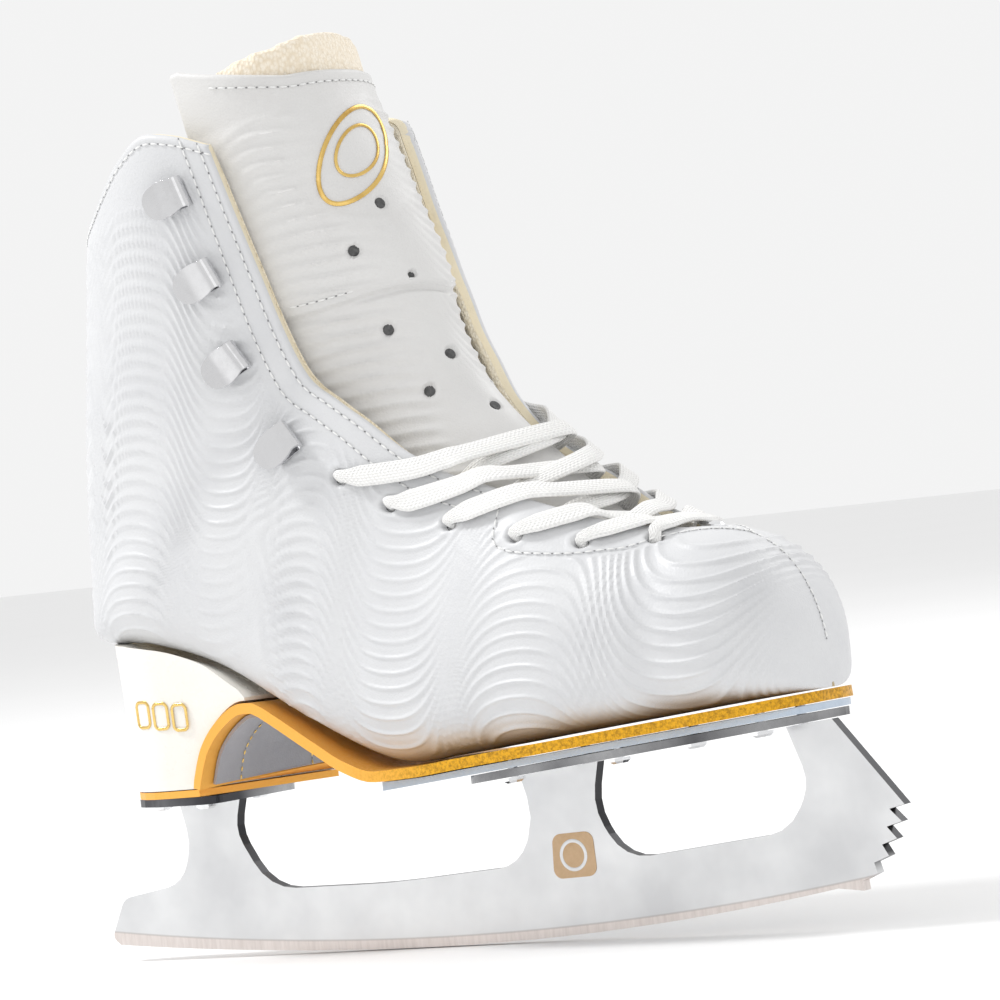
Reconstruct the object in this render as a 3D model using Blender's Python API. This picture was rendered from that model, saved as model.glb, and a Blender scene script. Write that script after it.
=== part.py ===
"""Right-foot figure skate: a lace-up leather boot screwed to a steel figure blade.

Every length below is in millimetres and is turned into metres when a mesh is made. +X points to the
toe, +Y to the medial side and +Z up. X is first measured from the front edge of the heel plate, and
every object is then moved by ORIGIN so that the world origin is under the middle of the skate.
"""
import math

import bpy
import numpy as np

MM = 0.001
ORIGIN = (-86.8, -2.1, 0.0)
GAP = 0.3

# ---- driving dimensions ---------------------------------------------------------------------
TOE_TIP = 214.5          # foremost point of the boot
TOE_ROOT = 178.0         # where the toe cap's rounding starts
TOE_HEIGHT = 54.0        # boot height at the toe root
TOE_SPAN = 3.0           # sections that the rounded toe takes
SOLE_RISE = 0.092        # slope of the forefoot from ball to toe
SOLE_X = 103.0           # rear edge of the sole plate
PLATE_BOTTOM = 51.5      # underside of the sole plate at SOLE_X
HEEL_PLATE_BOTTOM = 50.5
PLATE_THICK = 2.5
BLADE_THICK = 4.0
UPPER_THICK = 2.2
LINING = (4.1, 5.6)      # depth of the lining's two faces under the boot's outer surface
EYELET_DEPTH = 3.1       # depth of the eyelet rings, between the leather and the lining
TONGUE_DEPTH = 10.2      # depth of the tongue under the facings
TONGUE_THICK = 1.8
PAD_THICK = 5.5
WELT_THICK = 3.3
HOLE_RADIUS = 3.0
LACE_RADIUS = 1.2

# Sections of the boot from the toe root to above the collar. Each is a plane through a top point and
# a bottom point: top x, top z, bottom x, bottom z, lateral and medial half width, height share of the
# widest point, fullness of the upper and lower corners (2 is an ellipse, more is squarer), and how far
# the top leans to the medial side.
SECTIONS = np.array([
    (178, 121.2, 178, 67.2, 37.0, 36.5, 0.34, 2.35, 3.6, 0.0),
    (165, 125.5, 165, 66.0, 40.0, 39.0, 0.34, 2.20, 3.6, 0.5),
    (150, 134.5, 146, 64.2, 42.0, 41.5, 0.33, 2.05, 3.6, 1.5),
    (137, 146.0, 124, 62.3, 42.0, 42.5, 0.32, 2.00, 3.6, 3.0),
    (125, 157.0, 98, 59.8, 39.5, 41.0, 0.32, 2.05, 3.4, 4.5),
    (114, 167.5, 70, 58.0, 36.0, 38.0, 0.33, 2.15, 3.0, 5.5),
    (106, 177.0, 40, 73.0, 34.0, 36.0, 0.36, 2.25, 2.8, 6.0),
    (101, 186.0, 8, 92.5, 33.5, 35.5, 0.40, 2.35, 2.6, 6.0),
    (97, 194.0, -22, 101.6, 33.5, 35.5, 0.43, 2.40, 2.5, 6.0),
    (94, 202.0, -44, 103.6, 33.5, 36.0, 0.46, 2.45, 2.5, 6.0),
    (90, 210.0, -49.3, 113.0, 34.5, 37.0, 0.50, 2.50, 2.3, 6.0),
    (86, 219.0, -48.8, 136.0, 35.5, 38.5, 0.52, 2.55, 2.1, 6.0),
    (81, 230.0, -45.0, 166.0, 37.5, 40.5, 0.54, 2.60, 2.1, 6.0),
    (76, 244.0, -39.5, 198.0, 39.5, 42.5, 0.54, 2.60, 2.1, 6.0),
    (71, 258.0, -34.5, 226.0, 41.0, 44.0, 0.54, 2.60, 2.1, 5.5),
    (67, 271.0, -29.5, 247.0, 41.5, 44.0, 0.54, 2.55, 2.1, 4.5),
    (64, 285.0, -25.0, 266.0, 41.5, 43.5, 0.54, 2.50, 2.1, 3.5),
    (61, 299.0, -21.0, 284.0, 41.5, 43.0, 0.54, 2.50, 2.1, 2.5),
], dtype=float)

# Feather line, where the upper meets the sole: x and z from the back of the heel to the toe.
FEATHER = np.array([(-50, 103.4), (-30, 102.4), (-12, 100.0), (4, 95.0), (18, 85.6), (32, 77.0), (47, 67.6),
                    (58, 61.4), (70, 58.0), (85, 58.6), (103, 60.3), (165, 66.0), (220, 71.1)], dtype=float)
# Half width of the sole from the heel's widest point to the toe root.
SOLE_WIDTH = np.array([(-14, 29.5), (18, 28.5), (48, 30.0), (78, 35.0), (108, 39.0), (138, 40.5),
                       (162, 38.5), (178, 35.5)], dtype=float)
HEEL_ROUND = 27.0        # length of the rounded back of the heel
# Front of the heel, from the heel's bottom up to the top of the arch, on the lateral side.
BREAST = np.array([(-2.2, 55.8), (-1.2, 60.0), (2.2, 68.6), (8.2, 75.8), (16.5, 81.0), (24.5, 81.2)], dtype=float)
ARCH_ROWS = 9
HEEL_FRONT = 20.5        # how far the heel block runs forward under the arch
BREAST_SLANT = 17.0      # how much further forward the heel's medial corner reaches

# Places on the boot are (section, angle), the angle being one for each side: -1 lateral, +1 medial.
EYELETS = [(3.55, 28.5, 26.5), (4.90, 44.0, 41.0), (6.25, 53.5, 48.5), (7.70, 58.5, 52.0), (8.90, 65.0, 52.0),
           (9.85, 70.0, 50.5)]
HOOKS = [(11.2, 73.0, 52.0), (14.0, 80.0, 56.0), (15.45, 85.0, 59.0), (16.8, 90.5, 62.0)]
# Front edge of each quarter: section and angle.
FACING = {
    -1: np.array([(2.9, 3.0), (3.55, 15.0), (4.9, 30.0), (6.25, 39.5), (7.7, 46.0), (8.9, 52.0), (10.0, 56.0),
                  (11.5, 58.5), (13.0, 62.0), (14.5, 65.5), (16.0, 69.5), (17.5, 74.0), (18.5, 80.0)]),
    1: np.array([(2.9, 3.0), (3.55, 13.0), (4.9, 26.0), (6.25, 33.0), (7.7, 36.0), (8.9, 35.0), (10.0, 32.0),
                 (11.5, 28.0), (13.0, 26.0), (14.5, 25.5), (16.0, 27.5), (17.0, 30.5), (18.5, 38.0)]),
}
# Top edge of each quarter: angle and section, from the front corner to the back seam.
COLLAR = {
    -1: np.array([(72, 17.40), (85, 17.88), (98, 18.15), (111, 17.98), (123, 17.65), (136, 17.35), (155, 17.2),
                  (180, 17.15)]),
    1: np.array([(28, 16.80), (38, 17.25), (58, 17.75), (82, 17.98), (104, 17.95), (123, 17.65), (136, 17.35),
                 (155, 17.2), (180, 17.15)]),
}
# How far each wing of the tongue reaches: section and angle.
TONGUE_REACH = {
    -1: np.array([(3.3, 34.0), (5.0, 52.0), (7.0, 63.0), (9.0, 73.0), (10.5, 76.0), (12.5, 76.0), (14.5, 79.0),
                  (17.0, 86.0), (19.3, 98.0)]),
    1: np.array([(3.3, 32.0), (5.0, 50.0), (7.0, 59.0), (9.0, 62.0), (10.5, 60.0), (12.5, 56.0), (14.5, 54.0),
                 (17.0, 54.0), (19.3, 56.0)]),
}
TONGUE_PIVOT = (54.0, 0.0, 199.0)


# ---- curves and the boot's surface ----------------------------------------------------------
def through(points, t):
    """Smooth curve through the rows of points; t counts rows and may be an array."""
    t = np.clip(np.asarray(t, float), 0, len(points) - 1)
    i = np.minimum(t.astype(int), len(points) - 2)
    f = (t - i)[..., None]
    before, after = np.maximum(i - 1, 0), np.minimum(i + 2, len(points) - 1)
    a, b, c, d = points[before], points[i], points[i + 1], points[after]
    return 0.5 * (2 * b + (c - a) * f + (2 * a - 5 * b + 4 * c - d) * f**2 + (3 * b - a - 3 * c + d) * f**3)


def curve_y(points, x):
    """Height of the smooth curve through (x, y) rows at x, with no overshoot."""
    px, py = points[:, 0], points[:, 1]
    step = np.diff(py) / np.diff(px)
    slope = np.zeros(len(px))
    inner = step[:-1] * step[1:] > 0
    slope[1:-1][inner] = 2 * step[:-1][inner] * step[1:][inner] / (step[:-1] + step[1:])[inner]
    slope[0], slope[-1] = step[0], step[-1]
    x = np.clip(np.asarray(x, float), px[0], px[-1])
    i = np.clip(np.searchsorted(px, x, side="right") - 1, 0, len(px) - 2)
    h = px[i + 1] - px[i]
    f = (x - px[i]) / h
    return ((1 + 2 * f) * (1 - f)**2 * py[i] + f * (1 - f)**2 * h * slope[i]
            + f**2 * (3 - 2 * f) * py[i + 1] + f**2 * (f - 1) * h * slope[i + 1])


def toe_section(s):
    """Section s of the rounded toe, from 0 at the tip to TOE_SPAN at the toe root."""
    u = np.sin((1 - np.asarray(s, float) / TOE_SPAN) * math.pi / 2)
    x = TOE_ROOT + (TOE_TIP - TOE_ROOT) * u
    low = curve_y(FEATHER, x)
    high = low + (TOE_HEIGHT - 0.18 * (x - TOE_ROOT)) * (1 - u**2.6)**(1 / 2.6)
    wide = (1 - u**2.3)**(1 / 2.3)
    first = SECTIONS[0]
    rest = [np.full_like(u, v) for v in first[6:]]
    return np.stack([x, high, x, low, first[4] * wide, first[5] * wide, *rest], axis=-1)


def section(s):
    """Columns of SECTIONS at section s, an array."""
    s = np.asarray(s, float)
    slope = (toe_section(TOE_SPAN) - toe_section(TOE_SPAN - 1e-3)) / 1e-3
    lead = SECTIONS[1] - 2 * slope
    rows = np.vstack([lead, SECTIONS])
    leather = through(rows, np.maximum(s - TOE_SPAN, 0) + 1)
    toe = toe_section(np.clip(s, 0, TOE_SPAN))
    return np.where((s < TOE_SPAN)[..., None], toe, leather)


def boot(s, angle, side):
    """Points of the boot's outer surface. angle is 0 on the top line and 180 on the bottom or back line."""
    s, angle = np.broadcast_arrays(np.asarray(s, float), np.radians(np.asarray(angle, float)))
    c = section(s)
    mix = np.clip((angle - math.radians(55)) / math.radians(70), 0, 1)
    mix = mix * mix * (3 - 2 * mix)
    n = c[..., 7] + (c[..., 8] - c[..., 7]) * mix
    co, si = np.cos(angle), np.sin(angle)
    r = (np.abs(co)**n + np.abs(si)**n)**(-1 / n)
    share = c[..., 6] + np.where(co > 0, 1 - c[..., 6], c[..., 6]) * r * co
    width = (c[..., 5] if side > 0 else c[..., 4]) * r * si
    x = c[..., 2] + (c[..., 0] - c[..., 2]) * share
    z = c[..., 3] + (c[..., 1] - c[..., 3]) * share
    y = side * width + c[..., 9] * np.clip(share, 0, 1)**1.5
    return np.stack([x, y, z], axis=-1)


def boot_at(s, angle, side, depth=0.0):
    """Point depth under the boot's surface, and the outward normal there."""
    e = 0.02
    p = boot(s, angle, side)
    along = boot(np.asarray(s) + e, angle, side) - boot(np.asarray(s) - e, angle, side)
    round_ = boot(s, np.asarray(angle) + 20 * e, side) - boot(s, np.asarray(angle) - 20 * e, side)
    n = np.cross(along, round_) * -side
    n = n / np.maximum(np.linalg.norm(n, axis=-1, keepdims=True), 1e-9)
    return p - n * np.asarray(depth, float)[..., None], n


def half_width(x):
    """Half width of the sole at x, round at the toe and at the back of the heel."""
    x = np.asarray(x, float)
    toe = np.clip((x - TOE_ROOT) / (TOE_TIP - 0.8 - TOE_ROOT), 0, 1)
    heel = np.clip((SOLE_WIDTH[0, 0] - x) / HEEL_ROUND, 0, 1)
    return curve_y(SOLE_WIDTH, x) * (1 - toe**2.3)**(1 / 2.3) * (1 - heel**2.2)**(1 / 2.2)


def feather(x):
    """Height of the feather line at x."""
    return curve_y(FEATHER, x)


def plate_z(x):
    """Underside of the sole plate at x."""
    return PLATE_BOTTOM + SOLE_RISE * (x - SOLE_X)


# ---- meshes ---------------------------------------------------------------------------------
def material(name, colour, roughness, metallic=0.0):
    made = bpy.data.materials.new(name)
    made.use_nodes = True
    shader = made.node_tree.nodes["Principled BSDF"]
    shader.inputs["Base Color"].default_value = (*colour, 1.0)
    shader.inputs["Roughness"].default_value = roughness
    shader.inputs["Metallic"].default_value = metallic
    made.diffuse_color = (*colour, 1.0)
    return made


def add(name, points, faces, look, smooth=40.0, pivot=(0.0, 0.0, 0.0)):
    """Object from points in millimetres, with its origin at pivot and its faces turned outward."""
    mesh = bpy.data.meshes.new(name)
    local = (np.asarray(points, float).reshape(-1, 3) - pivot) * MM
    mesh.from_pydata([tuple(p) for p in local], [], faces)
    mesh.materials.append(look)
    mesh.validate()
    obj = bpy.data.objects.new(name, mesh)
    obj.location = [(a + b) * MM for a, b in zip(pivot, ORIGIN)]
    bpy.context.scene.collection.objects.link(obj)
    face_out(mesh)
    mesh.shade_smooth()
    mesh.set_sharp_from_angle(angle=math.radians(smooth))
    return obj


def face_out(mesh):
    """Turns the faces outward, by the sign of the volume that they hold."""
    mesh.calc_loop_triangles()
    co = np.array([v.co for v in mesh.vertices])
    tri = np.array([t.vertices for t in mesh.loop_triangles])
    a, b, c = co[tri[:, 0]], co[tri[:, 1]], co[tri[:, 2]]
    if np.einsum("ij,ij->i", a, np.cross(b, c)).sum() < 0:
        mesh.flip_normals()


def grid_faces(rows, columns, start=0):
    return [(start + i * columns + j, start + i * columns + j + 1,
             start + (i + 1) * columns + j + 1, start + (i + 1) * columns + j)
            for i in range(rows - 1) for j in range(columns - 1)]


def shell(name, near, far, look, smooth=40.0, pivot=(0.0, 0.0, 0.0)):
    """Closed solid between two grids of points of the same size."""
    rows, columns = near.shape[:2]
    count = rows * columns
    faces = grid_faces(rows, columns)
    faces += [f[::-1] for f in grid_faces(rows, columns, count)]
    rim = [(0, j) for j in range(columns)] + [(i, columns - 1) for i in range(1, rows)]
    rim += [(rows - 1, j) for j in range(columns - 2, -1, -1)] + [(i, 0) for i in range(rows - 2, 0, -1)]
    ring = [i * columns + j for i, j in rim]
    for a, b in zip(ring, ring[1:] + ring[:1]):
        faces.append((b, a, a + count, b + count))
    points = np.concatenate([near.reshape(-1, 3), far.reshape(-1, 3)])
    return add(name, points, faces, look, smooth, pivot)


def offset_grid(grid, depth):
    """The grid moved by depth against its own normal, which is rows crossed with columns."""
    along = np.gradient(grid, axis=0)
    across = np.gradient(grid, axis=1)
    n = np.cross(along, across)
    n /= np.maximum(np.linalg.norm(n, axis=-1, keepdims=True), 1e-9)
    return grid - n * depth


def skin(name, s_rows, angle_rows, side, depths, look, smooth=40.0, pivot=(0.0, 0.0, 0.0)):
    """Shell that follows the boot's surface on one side between two depths."""
    near, _ = boot_at(s_rows, angle_rows, side, np.full_like(s_rows, depths[0]))
    far, _ = boot_at(s_rows, angle_rows, side, np.full_like(s_rows, depths[1]))
    return shell(name, near, far, look, smooth, pivot)


def loft(name, rings, look, smooth=40.0):
    """Closed solid through rings of points, with flat ends."""
    rings = np.asarray(rings, float)
    count, size = rings.shape[:2]
    faces = [(i * size + j, i * size + (j + 1) % size, (i + 1) * size + (j + 1) % size, (i + 1) * size + j)
             for i in range(count - 1) for j in range(size)]
    faces += [tuple(range(size))[::-1], tuple(range((count - 1) * size, count * size))]
    return add(name, rings, faces, look, smooth)


def ring(centre, axis, radius, sides):
    """Circle of points round axis."""
    axis = np.asarray(axis, float) / np.linalg.norm(axis)
    across = np.cross(axis, (0.0, 1.0, 0.0) if abs(axis[1]) < 0.9 else (1.0, 0.0, 0.0))
    across /= np.linalg.norm(across)
    other = np.cross(axis, across)
    turn = np.arange(sides) * 2 * math.pi / sides
    return np.asarray(centre) + radius * (np.cos(turn)[:, None] * across + np.sin(turn)[:, None] * other)


def hoop(name, loops, look):
    """Closed ring-shaped solid through loops of points, the last joined to the first."""
    count, size = len(loops), len(loops[0])
    faces = [(k * size + j, k * size + (j + 1) % size,
              (k + 1) % count * size + (j + 1) % size, (k + 1) % count * size + j)
             for k in range(count) for j in range(size)]
    return add(name, np.array(loops), faces, look, 30.0)


def turned(name, base, axis, profile, look, sides=12):
    """Solid turned round axis. profile is (distance along the axis, radius) from one end to the other."""
    axis = np.asarray(axis, float) / np.linalg.norm(axis)
    return loft(name, [ring(np.asarray(base) + axis * h, axis, r, sides) for h, r in profile], look, 30.0)


def cut(obj, cutters):
    """Takes the cutters away from obj."""
    for cutter in cutters:
        cutter.hide_render = True
        cutter.display_type = "WIRE"
        change = obj.modifiers.new("cut_" + cutter.name, "BOOLEAN")
        change.operation = "DIFFERENCE"
        change.object = cutter


def tube(name, points, radius, look):
    """Round cord along points, with closed ends."""
    data = bpy.data.curves.new(name, "CURVE")
    data.dimensions = "3D"
    data.bevel_depth = radius * MM
    data.bevel_resolution = 2
    data.use_fill_caps = True
    spline = data.splines.new("POLY")
    spline.points.add(len(points) - 1)
    for point, p in zip(spline.points, points):
        point.co = (*(np.asarray(p) * MM), 1.0)
    data.materials.append(look)
    obj = bpy.data.objects.new(name, data)
    obj.location = [v * MM for v in ORIGIN]
    bpy.context.scene.collection.objects.link(obj)
    return obj


# ---- blade and plates -----------------------------------------------------------------------
def fillet(corners):
    """Outline through (x, z, radius) corners, each rounded by an arc of its radius."""
    made = []
    for k, (x, z, r) in enumerate(corners):
        here = np.array((x, z))
        if r <= 0:
            made.append(here)
            continue
        back = np.array(corners[k - 1][:2]) - here
        ahead = np.array(corners[(k + 1) % len(corners)][:2]) - here
        long_back, long_ahead = np.linalg.norm(back), np.linalg.norm(ahead)
        back, ahead = back / long_back, ahead / long_ahead
        half = math.acos(np.clip(back @ ahead, -1, 1)) / 2
        reach = min(r / math.tan(half), 0.49 * long_back, 0.49 * long_ahead)
        radius = reach * math.tan(half)
        centre = here + (back + ahead) / np.linalg.norm(back + ahead) * radius / math.sin(half)
        first, last = here + back * reach - centre, here + ahead * reach - centre
        turn = math.atan2(first[0] * last[1] - first[1] * last[0], first @ last)
        steps = max(2, int(abs(turn) / math.radians(14)))
        for t in np.linspace(0, turn, steps + 1):
            made.append(centre + (first[0] * math.cos(t) - first[1] * math.sin(t),
                                  first[0] * math.sin(t) + first[1] * math.cos(t)))
    return made


def blade_outline():
    """Side view of the blade: rocker, toe picks, and three stanchions up to the plates."""
    pivot_x, rear_radius, front_radius = 62.0, 1330.0, 960.0
    runner = []
    for x in np.linspace(-59.0, 210.0, 26):
        runner.append((x, (x - pivot_x)**2 / (2 * (rear_radius if x < pivot_x else front_radius)), 0))
    picks = []
    for k in range(6):
        f = k / 5
        tip = np.array((218.6 + 16.4 * f + 3.0 * math.sin(math.pi * f), 10.4 + 24.6 * f))
        if k:
            picks.append((*(tip + (-5.2, -1.1 - 1.2 * (1 - f))), 0))
        picks.append((*tip, 0))
    heel_top, gap = HEEL_PLATE_BOTTOM - GAP, GAP
    upper = [(213.8, plate_z(213.8) - gap, 0), (198.0, plate_z(198.0) - gap, 0), (204.0, 43.0, 12),
             (196.0, 29.0, 16), (137.0, 23.5, 15), (127.5, 40.0, 25), (131.0, plate_z(131.0) - gap, 0),
             (102.4, plate_z(102.4) - gap, 0), (105.8, 38.0, 22), (99.0, 23.6, 16), (50.0, 20.6, 300),
             (3.0, 20.8, 18), (-8.0, 40.0, 22), (-5.0, heel_top, 0), (-29.2, heel_top, 0), (-26.4, 37.0, 16),
             (-31.0, 24.2, 12), (-55.8, 20.4, 5), (-62.0, 8.0, 4)]
    return fillet(runner + picks + upper)


def blade(steel):
    outline = blade_outline()
    rings = [[(x, y, z) for x, z in outline] for y in (-BLADE_THICK / 2, BLADE_THICK / 2)]
    return loft("blade_runner", rings, steel, 25.0)


def plate(name, outline, bottom, thick, look):
    """Flat plate: outline of (x, y), with its underside at bottom(x)."""
    rings = [[(x, y, bottom(x) + up) for x, y in outline] for up in (0.0, thick)]
    return loft(name, rings, look, 30.0)


SOLE_PLATE = [(101.0, 30.0, 5), (140.0, 31.0, 40), (186.0, 26.0, 40), (213.0, 15.0, 10)]
HEEL_PLATE = [(-38.0, 15.0, 14), (-22.0, 22.0, 20), (1.0, 24.0, 5)]
SOLE_SCREWS = [(113.0, 21.0), (113.0, -21.0), (152.0, 22.0), (152.0, -22.0), (196.0, 12.0), (196.0, -12.0)]
HEEL_SCREWS = [(-9.0, 14.0), (-9.0, -14.0), (-30.0, 10.0), (-30.0, -10.0)]


def mirrored(corners):
    """Closed outline from corners on one side and their mirror on the other."""
    return fillet(corners + [(x, -y, r) for x, y, r in corners[::-1]])


def screw(name, x, y, base, up, length, look):
    """Pan-head screw with its head under a plate."""
    head, body = 3.4, 1.6
    profile = [(-1.9, head * 0.7), (-1.2, head), (-GAP, head), (-GAP, body), (length - 1.5, body), (length, 0.6)]
    return turned(name, (x, y, base), up, profile, look, 8)


def drill(name, places, base, up, radius, start, end, look):
    """Cutters for a group of parallel holes."""
    made = []
    for k, (x, y) in enumerate(places):
        made.append(turned(f"{name}_{k}", (x, y, base(x)), up, [(start, radius), (end, radius)], look, 12))
    return made


# ---- sole and heel --------------------------------------------------------------------------
def sole_grid(x_from, x_to, rows, inset, rise, columns=9):
    """Grid across the sole from x_from to x_to, at rise over the feather line."""
    x = np.linspace(x_from, x_to, rows)
    c = np.linspace(-1, 1, columns)
    w = np.maximum(half_width(x) - inset, 3.0)
    return np.stack([np.repeat(x[:, None], columns, 1), w[:, None] * c[None],
                     np.repeat((feather(x) + rise)[:, None], columns, 1)], axis=-1)


def breast_grid(q, columns=9):
    """Grid on the front of the heel. q is 0 at the heel's bottom and 1 at the top of the arch."""
    p = through(BREAST, np.asarray(q) * (len(BREAST) - 1))
    share = (p[:, 1] - BREAST[0, 1]) / (feather(p[:, 0]) - BREAST[0, 1])
    c = np.linspace(-1, 1, columns)
    x = p[:, :1] + (BREAST_SLANT * (1 - np.asarray(q)[:, None])**0.9) * (c[None] + 1) / 2
    z = BREAST[0, 1] + share[:, None] * (feather(x) - BREAST[0, 1])
    return np.stack([x, half_width(x) * c[None], z], axis=-1)


def strip_grid(x_front, rows):
    """Walking surface seen from the boot: down the breast of the heel, over the arch and on to the toe."""
    arch = breast_grid(np.linspace(0.03, 0.97, ARCH_ROWS), 7)
    turn = np.linspace(0, 1, rows)
    x = 27.0 + (x_front - 27.0) * np.sin(turn * math.pi / 2)**0.9
    c = np.linspace(-1, 1, arch.shape[1])
    fore = np.stack([np.repeat(x[:, None], len(c), 1), half_width(x)[:, None] * c[None],
                     np.repeat(feather(x)[:, None] - 0.3, len(c), 1)], axis=-1)
    return np.concatenate([arch, fore])


def heel_block(look):
    """Stacked heel between the heel seat and the lift, with a slanted, curved breast."""
    levels = []
    back = np.linspace(0, math.pi, 15)
    surface = breast_grid(np.array([0.0, *np.linspace(0.03, 0.97, ARCH_ROWS), 1.0]), 7)
    inside = offset_grid(surface, -0.8)
    inside[..., 0] = np.minimum(inside[..., 0], HEEL_FRONT)
    inside[-1, :, 2] = feather(HEEL_FRONT) - 0.8
    inside[0, :, 2] = surface[0, :, 2]
    for row, front in zip(surface, inside):
        share = (row[0, 2] - BREAST[0, 1]) / (feather(row[0, 0]) - BREAST[0, 1])
        taper = 0.90 + 0.08 * share
        x = SOLE_WIDTH[0, 0] - (HEEL_ROUND - 3.0 * (1 - share)) * np.sin(back)**0.9
        y = half_width(SOLE_WIDTH[0, 0]) * np.cos(back) * taper
        z = BREAST[0, 1] + share * (feather(x) - 0.8 - BREAST[0, 1])
        front[:, 1] *= taper
        levels.append(np.concatenate([front, np.stack([x, y, z], axis=-1)]))
    return loft("heel_block", levels, look)


def heel_outline(grow=0.0):
    """Bottom outline of the heel."""
    front = breast_grid(np.array([0.0]), 7)[0]
    back = np.linspace(0, math.pi, 15)
    x = SOLE_WIDTH[0, 0] - (HEEL_ROUND - 3.0 + grow) * np.sin(back)**0.9
    y = (half_width(SOLE_WIDTH[0, 0]) * 0.90 + grow) * np.cos(back)
    outline = [(px + grow, py * 0.90) for px, py, _ in front] + list(zip(x, y))
    return outline


# ---- uppers ---------------------------------------------------------------------------------
def angle_of(place_, side):
    """Angle on one side of a (section, lateral angle, medial angle) place."""
    return place_[1] if side < 0 else place_[2]


def facing(s, side):
    """Angle of the quarter's front edge at section s; small where the quarters meet on the toe seam."""
    edge = FACING[side]
    return np.where(s < edge[0, 0], 0.0, curve_y(edge, s))


def quarter(name, side, depths, look, rows=27, columns=11, first=0.15, trim=0.0):
    """Half of the upper: from the toe seam and the facing round to the feather line and the back seam."""
    v = np.linspace(0, 1, columns)[None]
    u = np.linspace(0, 1, rows)[:, None]
    start = COLLAR[side][0, 0]
    top = curve_y(COLLAR[side], start + (179.5 - start) * v) - trim
    s = first + (top - first) * u**1.3
    front = np.maximum(facing(s, side), 0.7) + 12 * trim
    under = np.clip((s - 11.2) / 1.8, 0, 1)
    last = 152.0 + (179.5 - 152.0) * under
    return skin(name, s, front + (last - front) * v, side, depths, look)


def hook(name, side, s, angle, look):
    """Lace hook: a riveted base and a round-ended tab folded back over it."""
    here, n = boot_at(np.array(s), np.array(angle), side, np.array(-GAP))
    ahead = boot(s, angle - 1, side) - boot(s, angle + 1, side)
    ahead /= np.linalg.norm(ahead)
    up = np.cross(n, ahead)
    up *= np.sign(up[2])
    ahead = np.cross(up, n) * np.sign(np.dot(np.cross(up, n), ahead))
    bend, lift = 2.2, 0.5
    path = [(-4.5, lift, 3.6), (-1.0, lift, 4.2), (3.0, lift, 4.6)]
    for t in np.linspace(0, math.pi, 4):
        path.append((4.0 + bend * math.sin(t), lift + bend * (1 - math.cos(t)), 4.8))
    path += [(1.0, lift + 2 * bend, 5.6), (-3.0, lift + 2 * bend + 0.1, 5.6),
             (-6.0, lift + 2 * bend + 0.4, 4.4), (-7.4, lift + 2 * bend + 0.7, 2.2)]
    mid = np.array([here + ahead * a + n * h for a, h, _ in path])
    across = np.linspace(-1, 1, 3)
    grid = mid[:, None] + np.array([w for *_, w in path])[:, None, None] * across[None, :, None] * up
    thick = 0.5
    return shell(name, offset_grid(grid, thick), offset_grid(grid, -thick), look, 50.0)


def eyelet(name, side, s, angle, look):
    """Flat ring between the leather and the lining, round a lace hole."""
    here, n = boot_at(np.array(s), np.array(angle), side, np.array(EYELET_DEPTH))
    return hoop(name, [ring(here - n * h, n, r, 10) for h, r in
                       ((0.0, HOLE_RADIUS), (0.0, 4.2), (0.6, 4.2), (0.6, HOLE_RADIUS))], look)


def lace_holes(side, look):
    """Cutters for the lace holes of one side."""
    made = []
    for k, place_ in enumerate(EYELETS):
        here, n = boot_at(np.array(place_[0]), np.array(angle_of(place_, side)), side, np.array(0.0))
        made.append(turned(f"hole_{'ml'[side < 0]}_{k}", here, n, [(-8.5, HOLE_RADIUS), (4.0, HOLE_RADIUS)], look, 12))
    return made


# ---- tongue ---------------------------------------------------------------------------------
def seam(angle):
    """Section of the seam between the lower and the upper tongue."""
    return 12.2 + 1.8 * (np.abs(angle) / 64.0)**1.3


def tongue_top(angle):
    """Section of the upper tongue's top edge."""
    return 18.3 + 0.8 * np.clip((np.abs(angle) - 36.0) / 53.0, 0, 1)**1.2


def tongue_depth(s, angle):
    """Depth of the tongue's face: under the facings below, swelling out between them above."""
    edge = np.where(angle < 0, facing(s, -1), facing(s, 1))
    middle = np.cos(np.radians(np.clip(np.abs(angle) / edge * 72.0, 0, 90)))**1.2
    swell = np.clip((s - 9.5) / 5.0, 0, 1)
    swell = swell * swell * (3 - 2 * swell)
    swell = 0.32 * np.clip((s - 3.3) / 1.5, 0, 1) * (1 - swell) + swell
    return TONGUE_DEPTH - swell * middle * (TONGUE_DEPTH - 1.5 - 2.5 * np.clip((s - 15.0) / 3.0, 0, 1))


def tongue_point(s, angle, depth):
    """Point of the tongue; angles below 0 are on the lateral side."""
    lateral, _ = boot_at(s, np.maximum(np.abs(angle), 0.4), -1, depth)
    medial, _ = boot_at(s, np.maximum(np.abs(angle), 0.4), 1, depth)
    middle = (lateral + medial) / 2
    point = np.where((angle < 0)[..., None], lateral, medial)
    return np.where((np.abs(angle) < 0.4)[..., None], middle, point)


def tongue(name, low, high, depths, look, rows, columns, narrow=0.0, pivot=(0.0, 0.0, 0.0)):
    """Panel of the tongue between the sections low(angle) and high(angle)."""
    u = np.linspace(0, 1, rows)[:, None]
    v = np.linspace(-1, 1, columns)[None]
    s = low(60.0 * v) + (high(60.0 * v) - low(60.0 * v)) * u
    reach = np.where(v < 0, curve_y(TONGUE_REACH[-1], s), curve_y(TONGUE_REACH[1], s)) - narrow
    angle = reach * v
    s = low(angle) + (high(angle) - low(angle)) * u
    base = tongue_depth(s, angle)
    return shell(name, tongue_point(s, angle, base + depths[0]), tongue_point(s, angle, base + depths[1]),
                 look, 40.0, pivot)


# ---- laces ----------------------------------------------------------------------------------
LACE_OVER, LACE_UNDER = 2.1, 8.2    # lace centreline over the facing, and depth under it
CROSSINGS = [3.8, 4.4, 5.15, 6.0, 6.9]    # sections at which the lace crosses the top line


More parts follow.
